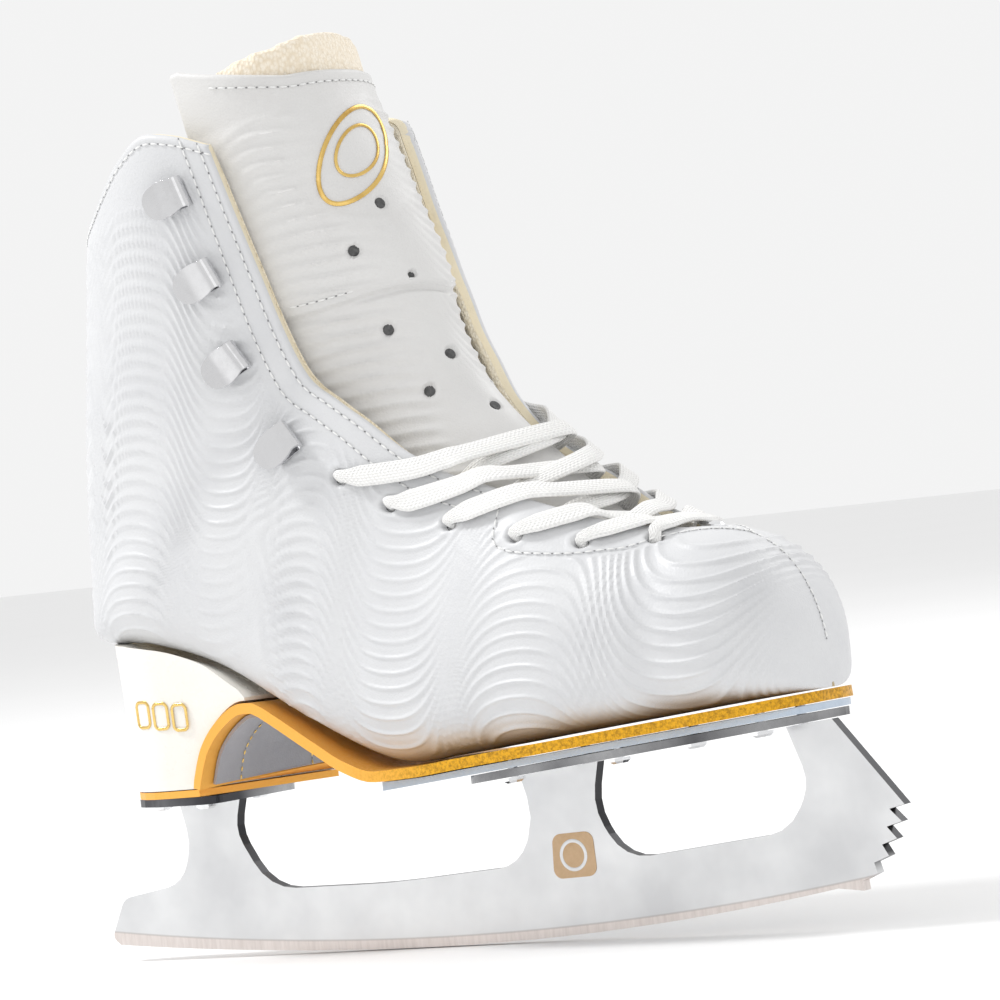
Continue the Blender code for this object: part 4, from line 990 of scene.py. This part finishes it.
def quarter_grid(side, rows, columns, trim=0.0, lead=0.0, first=0.02):
    """Section and angle over one half of the upper, to its front edge and its top edge."""
    v = np.linspace(0, 1, columns)[None]
    u = np.linspace(0, 1, rows)[:, None]
    start = COLLAR[side][0, 0]
    top = curve_y(COLLAR[side], start + (180.0 - start) * v) - trim
    s = first + (top - first) * u**1.3
    edge = np.where(s < 2.9, np.maximum(3.0 - (2.9 - s) * 20.0, 0.0), facing(np.maximum(s, 2.9), side))
    front = edge + lead * smooth_step(s, 9.0, 10.5) * (1 - smooth_step(s, 16.6, 17.2))
    under = np.clip((s - 11.2) / 1.8, 0, 1)
    last = 154.0 + (180.0 - 154.0) * under
    return s, front + (last - front) * v


HOLES = {side: [boot_at(np.array(e[0]), np.array(angle_of(e, side)), side, np.array(0.0))
                for e in EYELETS] for side in (-1, 1)}
APRON = [(2.25, 1.0), (3.85, 36.0), (4.45, 44.5), (5.05, 51.0), (6.0, 58.0), (6.6, 58.5), (6.75, 50.0)]


def upper(side, word):
    rows, columns = ((360, 270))
    s, angle = quarter_grid(side, rows, columns)
    base, normal = boot_at(s, np.maximum(angle, 0.02), side, np.zeros_like(s))
    ridge_y = boot(s, 0.0, side)
    base = np.where((angle < 0.02)[..., None], ridge_y, base)
    from_front = run_along(base, 1)
    from_top = run_along(base[::-1], 0)[::-1]
    open_front = smooth_step(s, 2.75, 3.1)
    x, z = base[..., 0], base[..., 2]
    tilted = x - 0.2 * (z - 110.0)
    height = ridges(tilted, z, lambda q: curve_y(SWING, q), lambda q: curve_y(WAVES, q))
    heel_side = smooth_step(tilted, -12, 0) * (1 - smooth_step(tilted, 30, 42)) * (1 - smooth_step(z, 128, 142))
    height *= 1 - 0.65 * heel_side
    apron = curve_y(np.array([(a, q) for a, q in [(0.0, 2.2), (36.0, 3.85), (44.5, 4.45), (51.0, 5.05), (58.0, 6.0)]]),
                    np.minimum(angle, 58.0))
    inside_apron = smooth_step(s, apron - 0.05, apron + 0.05) * (1 - smooth_step(angle, 56.0, 59.0))
    inside_apron *= 1 - smooth_step(s, 6.4, 6.7)
    height *= 1 - smooth_step(s, apron - 0.32, apron - 0.16) * (1 - smooth_step(angle, 57.5, 60.0)) * (
        1 - smooth_step(s, 6.4, 6.7))
    height *= smooth_step(s, 0.9, 1.5) * (1 - smooth_step(s, 16.8, 17.2))
    height *= 0.75 + 0.25 * np.sin(x / 23.0) * np.cos(z / 17.0)
    height *= 1 - smooth_step(angle, 139.0, 147.0) * (1 - smooth_step(s, 10.6, 11.6))
    height *= 1 - open_front * (1 - smooth_step(from_front, 11.0, 14.0))
    for gap in (3.2, 9.8):
        height -= 0.22 * np.exp(-((from_front - gap) / 0.7)**2) * open_front * smooth_step(s, 6.6, 6.9)
    height -= 0.22 * np.exp(-((from_top - 3.2) / 0.7)**2)
    height += 0.35 * inside_apron
    for here, n in HOLES[side]:
        away = np.linalg.norm(base - here, axis=-1)
        height -= 3.0 * (1 - smooth_step(away, 1.6, 3.0))
        height += 0.25 * np.exp(-((away - 4.0) / 1.0)**2)
    roll = 1.3
    for away, share in ((from_front, open_front), (from_top, 1.0)):
        near = np.clip(roll - away, 0, roll)
        height -= (roll - np.sqrt(np.maximum(roll**2 - near**2, 0))) * share
    near = base + normal * height[..., None]
    near[:, 0] = np.where((angle[:, 0] < 0.05)[:, None], ridge_y[:, 0] + (0, 0, 0.0), near[:, 0])
    far, _ = boot_at(s, np.maximum(angle, 0.02), side, np.full_like(s, 3.9))
    obj = between(f"upper_{word}", near, far, WHITE, 60.0, layers=3)
    obj.data.materials.append(EDGE)
    faces = len(obj.data.polygons)
    inner = np.arange(faces) >= (rows - 1) * (columns - 1)
    obj.data.polygons.foreach_set("material_index", inner.astype(np.int32))
    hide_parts(f"quarter_{word}")
    return {"s": s, "angle": angle, "base": base, "normal": normal, "front": from_front, "top": from_top}


GRIDS = {side: upper(side, word) for side, word in ((-1, "lateral"), (1, "medial"))}


# ---- stitching ------------------------------------------------------------------------------
def capsules(name, places, along, normal, look, size=(2.3, 0.6, 0.42), body="boot", sink=0.05):
    """Many small rounded bars, each lying along a direction on a surface."""
    rings, sides = 5, 6
    lat = np.linspace(-1, 1, rings)
    width = np.sqrt(np.maximum(1 - np.abs(lat)**3, 0.05))
    turn = np.arange(sides) * math.tau / sides
    unit = np.array([(l, w * math.cos(t), w * math.sin(t)) for l, w in zip(lat, width) for t in turn])
    unit = unit * (size[0] / 2, size[1] / 2, size[2] / 2)
    faces = quads(rings, sides, 0, True).tolist()
    faces += [list(range(sides))[::-1], list(range((rings - 1) * sides, rings * sides))]
    points, every = [], []
    for k, (p, a, n) in enumerate(zip(places, along, normal)):
        a = a - n * (a @ n)
        a /= np.linalg.norm(a)
        b = np.cross(n, a)
        points.append(p + n * (size[2] / 2 - sink) + unit @ np.array([a, b, n]))
        every += [[i + k * len(unit) for i in f] for f in faces]
    return put(name, np.concatenate(points), every, look, 60.0, None, body)


def stitch_line(points, normals, spacing=3.2):
    """Places, directions and normals of stitches along a line."""
    rows = resample(np.concatenate([points, normals], axis=1), spacing)
    along = np.gradient(rows[:, :3], axis=0)
    normal = rows[:, 3:] / np.linalg.norm(rows[:, 3:], axis=1, keepdims=True)
    return rows[:, :3], along, normal


def on_boot(route, side, lift=0.1):
    """Surface points and normals along (section, angle) places on one side."""
    t = np.linspace(0, len(route) - 1, 12 * len(route))
    fine = through(np.array(route, float), t)
    p, n = boot_at(fine[:, 0], np.maximum(fine[:, 1], 0.3), side, np.full(len(fine), -lift))
    return p, n


def edge_row(side, gap, s_low, s_high):
    """Line at a fixed distance back from the front edge."""
    g = GRIDS[side]
    points, normals = [], []
    for k in range(0, len(g["s"]), 3):
        if s_low <= g["s"][k, 0] <= s_high:
            points.append([np.interp(gap, g["front"][k], g["base"][k, :, q]) for q in range(3)])
            normals.append([np.interp(gap, g["front"][k], g["normal"][k, :, q]) for q in range(3)])
    return np.array(points), np.array(normals)


def top_row(side, gap):
    """Line at a fixed distance under the top edge."""
    g = GRIDS[side]
    points, normals = [], []
    for j in range(2, g["s"].shape[1], 3):
        away = g["top"][::-1, j]
        points.append([np.interp(gap, away, g["base"][::-1, j, q]) for q in range(3)])
        normals.append([np.interp(gap, away, g["normal"][::-1, j, q]) for q in range(3)])
    return np.array(points), np.array(normals)


def sew(name, lines, look=None, size=(2.3, 0.6, 0.42), spacing=3.2, body="boot", holes=True):
    """Stitches along several lines in one piece, and the needle holes between them as small dark marks of painted
    shade.
    """
    parts = [stitch_line(p, n, spacing) for p, n in lines]
    place_, along, normal = (np.concatenate([q[k] for q in parts]) for k in range(3))
    made = [capsules(name, place_, along, normal, look or THREAD, size, body)]
    if holes:
        ahead = along / np.linalg.norm(along, axis=1, keepdims=True)
        made.append(capsules(name + "_holes", place_ + ahead * spacing / 2, along, normal, NEEDLE_HOLE_SHADE,
                             (0.7, 0.5, 0.16), body, 0.06))
    return made


for side, word in ((-1, "lateral"), (1, "medial")):
    lines = [edge_row(side, 3.2, 6.9, 17.3), edge_row(side, 9.8, 7.4, 17.3), top_row(side, 3.2)]
    sew(f"facing_stitches_{word}", lines)
    sew(f"apron_stitches_{word}", [on_boot(APRON, side, 0.32)])
    back = [(17.0 - 0.3 * k, 177.6) for k in range(22)]
    sew(f"back_stitches_{word}", [on_boot(back, side)])
sew("toe_seam", [on_boot([(2.6 - 0.2 * k, 0.3) for k in range(12)], -1)], None, (1.7, 0.7, 0.5), 2.6)


def turned_ring(name, here, n, profile, look, sides=28):
    """Ring turned round an axis: profile of (height, radius), closed on itself."""
    across = np.cross(n, (0.0, 1.0, 0.0) if abs(n[1]) < 0.9 else (1.0, 0.0, 0.0))
    across /= np.linalg.norm(across)
    other = np.cross(n, across)
    t = np.arange(sides) * math.tau / sides
    points = np.array([[here + n * h + r * (math.cos(a) * across + math.sin(a) * other) for a in t]
                       for h, r in profile])
    faces = quads(len(profile), sides, 0, True).tolist()
    last = (len(profile) - 1) * sides
    faces += [[last + j, last + (j + 1) % sides, (j + 1) % sides, j] for j in range(sides)]
    return put(name, points, faces, look, 40.0)


# Each eyelet hole is lined with a dark tube: painted shade inside the hole.
EYELET_SHADE = metal_look("eyelet_hole_shade", (0.16, 0.16, 0.165), (0.08, 0.08, 0.085), 0.35)
for side, word in ((-1, "lateral"), (1, "medial")):
    for k, (here, n) in enumerate(HOLES[side]):
        ring_ = turned_ring(f"eyelet_shade_tube_{word}_{k + 1}", here, n,
                            [(-3.4, 3.2), (-1.9, 3.1), (-1.6, 2.6), (-1.9, 2.0), (-3.4, 1.8)], EYELET_SHADE)
        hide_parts(f"eyelet_{word}_{k + 1}")


# ---- linings, footbed and tongue ------------------------------------------------------------
def lining(side, word):
    rows, columns = ((150, 110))
    s, angle = quarter_grid(side, rows, columns, 0.05, -2.6 if side > 0 else -0.4, 0.9)
    near, _ = boot_at(s, np.maximum(angle, 0.4), side, np.full_like(s, 4.0))
    base, normal = boot_at(s, np.maximum(angle, 0.4), side, np.full_like(s, 5.9))
    from_front, from_top = run_along(base, 1), run_along(base[::-1], 0)[::-1]
    roll, height = 1.5, np.zeros_like(s)
    for away in (from_front, from_top):
        close = np.clip(roll - away, 0, roll)
        height += roll - np.sqrt(np.maximum(roll**2 - close**2, 0))
    far = base + normal * np.minimum(height, 1.6)[..., None]
    obj = between(f"inner_{word}", near, far, LINING_LOOK, 60.0, layers=2)
    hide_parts(f"lining_{word}")


def soles():
    bed = sole_grid(-31.0, 197.0, 90, 18.0, 10.2, 31)
    c = np.linspace(-1, 1, 31)[None]
    u = np.linspace(-1, 1, 90)[:, None]
    swell = (1 - np.abs(c)**6) * (1 - np.abs(u)**24)
    rise = 1.4 + 2.1 * swell
    top = bed.copy()
    top[..., 2] += rise
    obj = between("cushion_sole", top, bed, LINING_LOOK, 60.0)
    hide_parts("footbed")


lining(-1, "lateral")
lining(1, "medial")
soles()


LARGE = [(15.14, -20.2), (14.36, -38.8), (11.95, -38.8), (10.09, -16.5), (9.69, -36.9), (8.3, -8.0)]
SMALL = [(13.0, -21.8), (9.05, 10.9)]


def flexes(*objects):
    for obj in objects:
        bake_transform(obj)


def face_depth(s, angle):
    """Depth of the tongue leather's face, with the upper piece lapped over the lower one."""
    step_ = smooth_step(s, seam(angle) - 0.03, seam(angle) + 0.04)
    return tongue_depth(s, angle) - 1.3 * step_


def tongue_leather():
    rows, columns = ((290, 170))
    u = np.linspace(0, 1, rows)[:, None]
    v = np.linspace(-1, 1, columns)[None]
    top = tongue_top(60.0 * v)
    s = 3.3 + (top - 3.3) * u
    reach = np.where(v < 0, curve_y(TONGUE_REACH[-1], s), curve_y(TONGUE_REACH[1], s))
    angle = reach * v
    s = 3.3 + (tongue_top(angle) - 3.3) * u
    depth = face_depth(s, angle)
    base = tongue_point(s, angle, depth)
    across = (angle + 45.0) * math.pi / 65.0
    height = 1.1 * ridges(across, base[..., 2], lambda q: 12.0, lambda q: q)
    badge = np.hypot((angle + 18.5) / 29.0, (s - 16.35) / 1.4)
    height *= 0.25 + 0.75 * smooth_step(badge, 1.0, 1.15)
    plain = smooth_step(s, 8.6, 9.8) + smooth_step(-angle, 38.0, 48.0)
    height *= np.clip(plain, 0, 1) * (1 - smooth_step(s, 17.3, 17.7))
    height *= smooth_step(np.abs(s - seam(angle)), 0.10, 0.22)
    height *= 1 - smooth_step(angle, 12.0, 30.0) * (1 - smooth_step(s, 13.5, 14.5))
    for group, radius in ((LARGE, 1.9), (SMALL, 1.2)):
        for hole in group:
            here = tongue_point(np.array(hole[0]), np.array(hole[1]), face_depth(*map(np.array, hole)))
            away = np.linalg.norm(base - here, axis=-1)
            pit = 1 - smooth_step(away, radius * 0.85, radius * 1.3)
            height = height * (1 - pit) - 0.8 * pit
    for away in (run_along(base, 1), run_along(base[:, ::-1], 1)[:, ::-1], run_along(base[::-1], 0)[::-1]):
        close = np.clip(1.0 - away, 0, 1.0)
        height -= 1.0 - np.sqrt(1.0 - close**2)
    height += 0.3 * np.exp(-((s - seam(angle) - 0.05) / 0.06)**2)
    far = tongue_point(s, angle, depth + TONGUE_THICK + 0.2)
    near = tongue_point(s, angle, depth - height)
    obj = between("tongue_leather", near, far, TONGUE, 60.0, body=None, layers=2)
    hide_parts("tongue_lower", "tongue_upper")
    return obj


def tongue_line(route, lift=0.12):
    """Points and normals on the tongue's face along (section, angle) places."""
    t = np.linspace(0, len(route) - 1, 14 * len(route))
    fine = through(np.array(route, float), t)
    s, a = fine[:, 0], fine[:, 1]
    d = face_depth(s, a)
    p = tongue_point(s, a, d - lift)
    n = p - tongue_point(s, a, d - lift + 1.0)
    return p, n / np.linalg.norm(n, axis=1, keepdims=True)


def tongue_details():
    made = []
    spread = np.linspace(-70, 48, 24)
    top = [(float(tongue_top(np.array(a))) - 0.28, a) for a in spread]
    low = [(float(seam(np.array(a))) + 0.22, a) for a in np.linspace(-70, 48, 24)]
    made += sew("tongue_stitches", [tongue_line(top), tongue_line(low)], body=None)
    side_ = [(s, float(curve_y(TONGUE_REACH[1], np.array(s))) - 4.5) for s in np.linspace(8.0, 17.9, 30)]
    made += sew("tongue_side_stitches", [tongue_line(side_)], body=None)
    # each perforation gets a near-black disc in its pit: painted shade inside the hole
    for k, hole in enumerate(LARGE + SMALL):
        p, n = (q[0] for q in tongue_line([hole, hole], -0.35))
        radius = 1.75 if hole in LARGE else 1.1
        made.append(turned_plug(f"perforation_{k + 1}", p, n, radius, 0.3, PERFORATION_SHADE))
    for name, wide, tall, thick in (("tongue_ring_outer", 23.0, 0.78, 0.75), ("tongue_ring_inner", 13.5, 0.46, 0.55)):
        turn = np.linspace(0, math.tau, 73)
        tilt = 9.0 if wide > 20 else 4.0
        route = np.array([(16.35 + tall * math.sin(t) + tilt * 0.075 * math.cos(t) * 0.9, -18.5 + wide * math.cos(t))
                          for t in turn])
        s, a = route[:, 0], route[:, 1]
        d = face_depth(s, a)
        p = tongue_point(s, a, d - 0.42)
        n = p - tongue_point(s, a, d + 0.75)
        n /= np.linalg.norm(n, axis=1, keepdims=True)
        ahead = np.gradient(p, axis=0)
        ahead /= np.linalg.norm(ahead, axis=1, keepdims=True)
        made.append(swept(name, p, np.cross(n, ahead), n, ribbon_profile(2 * thick, 0.5, 10), GOLD_FOIL, body=None))
    return made


def turned_plug(name, here, n, radius, thick, look, sides=20):
    """Small flat disc on an axis."""
    across = np.cross(n, (0.0, 1.0, 0.0) if abs(n[1]) < 0.9 else (1.0, 0.0, 0.0))
    across /= np.linalg.norm(across)
    other = np.cross(n, across)
    t = np.arange(sides) * math.tau / sides
    points = np.array([[here + n * h + radius * (math.cos(a) * across + math.sin(a) * other) for a in t]
                       for h in (-thick, 0.0)])
    faces = quads(2, sides, 0, True).tolist() + [list(range(sides))[::-1], list(range(sides, 2 * sides))]
    return put(name, points, faces, look, 40.0, None, None)


def pad():
    """Foam pad behind the upper tongue, filled out like a cushion."""
    rows, columns = 34, 36
    u = np.linspace(0, 1, rows)[:, None]
    v = np.linspace(-1, 1, columns)[None]
    low = lambda a: seam(a) + 0.3
    high = lambda a: tongue_top(a) + 0.95 - 0.7 * (a / 60.0)**2
    s = low(60.0 * v) + (high(60.0 * v) - low(60.0 * v)) * u
    angle = (np.where(v < 0, curve_y(TONGUE_REACH[-1], s), curve_y(TONGUE_REACH[1], s)) - 4.6) * v
    s = low(angle) + (high(angle) - low(angle)) * u
    base = tongue_depth(s, angle) + TONGUE_THICK
    obj = between("tongue_cushion", tongue_point(s, angle, base - 0.6), tongue_point(s, angle, base + 4.4), CREAM,
                  80.0, body=None)
    fill_out(obj)
    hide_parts("tongue_pad")
    return obj


def fill_out(obj):
    """Cloth under a little pressure, with what each point moves kept small."""
    scene = bpy.context.scene
    layer = bpy.context.view_layer
    for other in list(bpy.context.selected_objects):
        other.select_set(False)
    layer.objects.active = obj
    obj.select_set(True)
    remesh = obj.modifiers.new("remesh", "REMESH")
    remesh.mode = "VOXEL"
    remesh.voxel_size = 0.0024
    bpy.ops.object.modifier_apply(modifier=remesh.name)
    start = np.array([v.co for v in obj.data.vertices])
    cloth = obj.modifiers.new("cloth", "CLOTH")
    cloth.settings.quality = 5
    cloth.settings.mass = 0.15
    cloth.settings.tension_stiffness = 12
    cloth.settings.bending_stiffness = 0.4
    cloth.settings.use_pressure = True
    cloth.settings.uniform_pressure_force = 4.0
    cloth.settings.effector_weights.gravity = 0.0
    cloth.point_cache.frame_start = 1
    cloth.point_cache.frame_end = 20
    for step_ in range(1, 21):
        scene.frame_set(step_)
    grown = obj.evaluated_get(bpy.context.evaluated_depsgraph_get())
    end = np.array([v.co for v in grown.to_mesh().vertices])
    obj.modifiers.remove(cloth)
    scene.frame_set(1)
    if len(end) == len(start):
        move = end - start
        size = np.linalg.norm(move, axis=1, keepdims=True)
        end = start + move * np.minimum(1.0, 0.0012 / np.maximum(size, 1e-9))
        obj.data.vertices.foreach_set("co", end.astype(np.float32).ravel())
    fine = obj.modifiers.new("fine", "SUBSURF")
    fine.levels = fine.render_levels = 1
    bpy.ops.object.modifier_apply(modifier=fine.name)
    obj.data.materials.clear()
    obj.data.materials.append(CREAM)
    obj.data.shade_smooth()


flexes(tongue_leather(), *tongue_details(), pad())


# ---- sole and heel --------------------------------------------------------------------------
def fine_strip(arch_rows, rows, columns, inset=0.0):
    """The walking surface, finely divided."""
    arch = breast_grid(np.linspace(0.03, 0.97, arch_rows), columns)
    turn = np.linspace(0, 1, rows)
    x = 27.0 + (TOE_TIP - 1.0 - 27.0) * np.sin(turn * math.pi / 2)**0.9
    c = np.linspace(-1, 1, columns)
    fore = np.stack([np.repeat(x[:, None], columns, 1), half_width(x)[:, None] * c[None],
                     np.repeat(feather(x)[:, None] - 0.3, columns, 1)], axis=-1)
    return np.concatenate([arch, fore])


def soft_edges(obj, width=0.0005, segments=2):
    """Rounds a piece's sharp edges."""
    bevel = obj.modifiers.new("edges", "BEVEL")
    bevel.width = width
    bevel.segments = segments
    bevel.limit_method = "ANGLE"
    bevel.angle_limit = math.radians(35)


def sole():
    walk = fine_strip(40, 110, 13)
    welt = between("gold_welt", offset_grid(walk, 0.0), offset_grid(walk, WELT_THICK), GOLD, 40.0)
    soft_edges(welt, 0.0004)
    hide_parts("welt")
    fore = walk[54:, 1:-1].copy()
    fore[..., 1] *= 1.08
    near = offset_grid(fore, WELT_THICK + GAP)
    far = near.copy()
    far[..., 2] = plate_z(far[..., 0]) + PLATE_THICK + GAP
    far[..., 2] = np.minimum(far[..., 2], near[..., 2] - 0.8)
    under = between("waxed_outsole", near, far, OUTSOLE, 40.0)
    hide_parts("outsole")
    cover = walk[3:50, 1:-1]
    breast = between("breast_leather_cover", offset_grid(cover, WELT_THICK + GAP),
                     offset_grid(cover, WELT_THICK + GAP + 1.2), GREY, 40.0)
    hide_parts("breast_cover")
    face = offset_grid(cover, WELT_THICK + GAP + 1.3)
    down = face - offset_grid(cover, WELT_THICK + GAP)
    down /= np.linalg.norm(down, axis=-1, keepdims=True)
    sew("breast_stitches", [(face[2:-2, 2], down[2:-2, 2]), (face[2:-2, -3], down[2:-2, -3])], GOLD_FOIL,
        (1.6, 0.6, 0.4), 2.6)


def heel():
    levels = []
    back = np.linspace(0, math.pi, 61)
    shares = np.linspace(0.0, 1.0, 26)
    surface = breast_grid(shares, 25)
    inside = offset_grid(surface, -0.8)
    inside[..., 0] = np.minimum(inside[..., 0], HEEL_FRONT)
    inside[-1, :, 2] = feather(HEEL_FRONT) - 0.8
    inside[0, :, 2] = surface[0, :, 2]
    for row, front in zip(surface, inside):
        share = (row[0, 2] - BREAST[0, 1]) / (feather(row[0, 0]) - BREAST[0, 1])
        taper = 0.90 + 0.08 * share
        x = SOLE_WIDTH[0, 0] - (HEEL_ROUND - 3.0 * (1 - share)) * np.sin(back)**0.9
        y = half_width(SOLE_WIDTH[0, 0]) * np.cos(back) * taper
        z = BREAST[0, 1] + share * (feather(x) + 0.9 - BREAST[0, 1])
        front[:, 1] *= taper
        sides = []
        for corner, end in ((front[-1], (x[0], y[0])), (front[0], (x[-1], y[-1]))):
            f = np.linspace(0, 1, 16)[1:-1]
            side_x, side_y = corner[0] + (end[0] - corner[0]) * f, corner[1] + (end[1] - corner[1]) * f
            side_z = BREAST[0, 1] + share * (feather(side_x) + 0.9 - BREAST[0, 1])
            sides.append(np.stack([side_x, side_y, side_z], axis=-1))
        levels.append(np.concatenate([front, sides[0], np.stack([x, y, z], axis=-1), sides[1][::-1]]))
    rings = np.array(levels)
    size = rings.shape[1]
    faces = quads(len(rings), size, 0, True).tolist()
    faces += [list(range(size))[::-1], list(range((len(rings) - 1) * size, len(rings) * size))]
    obj = put("lacquered_heel", rings, faces, HEEL, 35.0)
    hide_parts("heel_block")


def heel_marks():
    """Three small gold frames on the heel's lateral side."""
    taper = 0.955
    for k in range(3):
        middle_x, middle_z = -20.2 + 7.4 * k, 80.3 - 0.8 * k
        corners = fillet([(middle_x - 2.7, middle_z - 4.0, 1.6), (middle_x + 2.7, middle_z - 4.0, 1.6),
                          (middle_x + 2.7, middle_z + 4.0, 1.6), (middle_x - 2.7, middle_z + 4.0, 1.6)])
        outline = np.array(corners + corners[:1])
        outline = through(outline, np.linspace(0, len(outline) - 1, 90))
        x, z = outline[:, 0], outline[:, 1]
        share = (z - BREAST[0, 1]) / (feather(x) - BREAST[0, 1])
        arc = np.clip((SOLE_WIDTH[0, 0] - x) / (HEEL_ROUND - 3.0 * (1 - share)), 0, 1)
        y = -half_width(SOLE_WIDTH[0, 0]) * (0.90 + 0.08 * share) * np.sqrt(1 - arc**2.2)
        p = np.stack([x, y - 0.12, z], axis=-1)
        ahead = np.gradient(p, axis=0)
        ahead /= np.linalg.norm(ahead, axis=1, keepdims=True)
        out = np.tile((0.0, -1.0, 0.0), (len(p), 1))
        swept(f"heel_mark_{k + 1}", p, np.cross(out, ahead), out, ribbon_profile(1.0, 0.35, 10),
                      GOLD_FOIL)


def blade_mark():
    """Plain tan plate with a ring on the blade's lateral side."""
    corners = np.array(fillet([(111.0, 18.8, 3), (126.8, 19.3, 3), (126.4, 33.0, 3), (111.8, 32.5, 3)]))
    points = np.array([[(x, y, z) for x, z in corners] for y in (-2.02, -2.16)])
    faces = quads(2, len(corners), 0, True).tolist()
    faces += [list(range(len(corners)))[::-1], list(range(len(corners), 2 * len(corners)))]
    tan = metal_look("tan_print", (0.62, 0.43, 0.26), (0.50, 0.33, 0.18), 0.5, metallic=0.2)
    put("blade_plate_mark", points, faces, tan, 40.0)
    turn = np.linspace(0, math.tau, 61)
    p = np.stack([118.9 + 4.4 * np.cos(turn), np.full(61, -2.2), 25.9 + 4.4 * np.sin(turn)], axis=-1)
    ahead = np.gradient(p, axis=0)
    ahead /= np.linalg.norm(ahead, axis=1, keepdims=True)
    out = np.tile((0.0, -1.0, 0.0), (61, 1))
    swept("blade_ring_mark", p, np.cross(out, ahead), out, ribbon_profile(1.1, 0.16, 8), BLADE)


def fine_hook(side, word, k, s, angle):
    """Lace hook with a rounded tab that is folded back over its riveted base."""
    here, n = boot_at(np.array(s), np.array(angle), side, np.array(-GAP))
    ahead = boot(s, angle - 1, side) - boot(s, angle + 1, side)
    ahead /= np.linalg.norm(ahead)
    up = np.cross(n, ahead)
    up *= np.sign(up[2])
    ahead = np.cross(up, n) * np.sign(np.dot(np.cross(up, n), ahead))
    bend, lift = 2.2, 0.5
    path = [(-4.5, lift, 2.6), (-3.6, lift, 3.7), (-1.0, lift, 4.3), (3.0, lift, 4.7)]
    for t in np.linspace(0, math.pi, 9):
        path.append((4.0 + bend * math.sin(t), lift + bend * (1 - math.cos(t)), 4.9))
    path += [(1.5, lift + 2 * bend, 5.5), (-1.5, lift + 2 * bend, 5.6), (-4.0, lift + 2 * bend + 0.2, 5.2),
             (-5.8, lift + 2 * bend + 0.4, 4.3), (-7.0, lift + 2 * bend + 0.6, 2.9), (-7.6, lift + 2 * bend + 0.8, 1.2)]
    path = through(np.array(path), np.linspace(0, len(path) - 1, 70))
    across = np.sin(np.linspace(-1, 1, 13) * math.pi / 2)
    mid = here + path[:, :1] * ahead + path[:, 1:2] * n
    grid = mid[:, None] + path[:, 2, None, None] * across[None, :, None] * up
    obj = between(f"hook_{word}_{k}", offset_grid(grid, 0.5), offset_grid(grid, -0.5), HOOK, 45.0)
    soft_edges(obj, 0.0003)
    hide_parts(f"lace_hook_{word}_{k}")


sole()
heel()
heel_marks()
blade_mark()
for side, word in ((-1, "lateral"), (1, "medial")):
    for k, place_ in enumerate(HOOKS):
        fine_hook(side, word, k + 1, place_[0], angle_of(place_, side))

SHOWN = {"blade_runner": (BLADE, 0.0003), "sole_plate": (PLATE, 0.0003), "heel_plate": (PLATE, 0.0003),
         "heel_lift": (GOLD, 0.0004), "vamp_rivet": (CHROME, 0.0002), "shank": (CHROME, 0.0002),
         "insole_board": (BOARD, 0.0003), "cork_filler": (BOARD, 0.0003), "aglet_lateral": (CHROME, 0.0001),
         "aglet_medial": (CHROME, 0.0001)}
for group, count in (("sole_screw", 6), ("heel_screw", 4)):
    for k in range(count):
        SHOWN[f"{group}_{k + 1}"] = (CHROME, 0.0003)
for name, (look, width) in SHOWN.items():
    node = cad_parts[name]
    node.data.materials.clear()
    node.data.materials.append(look)
    soft_edges(node, width)
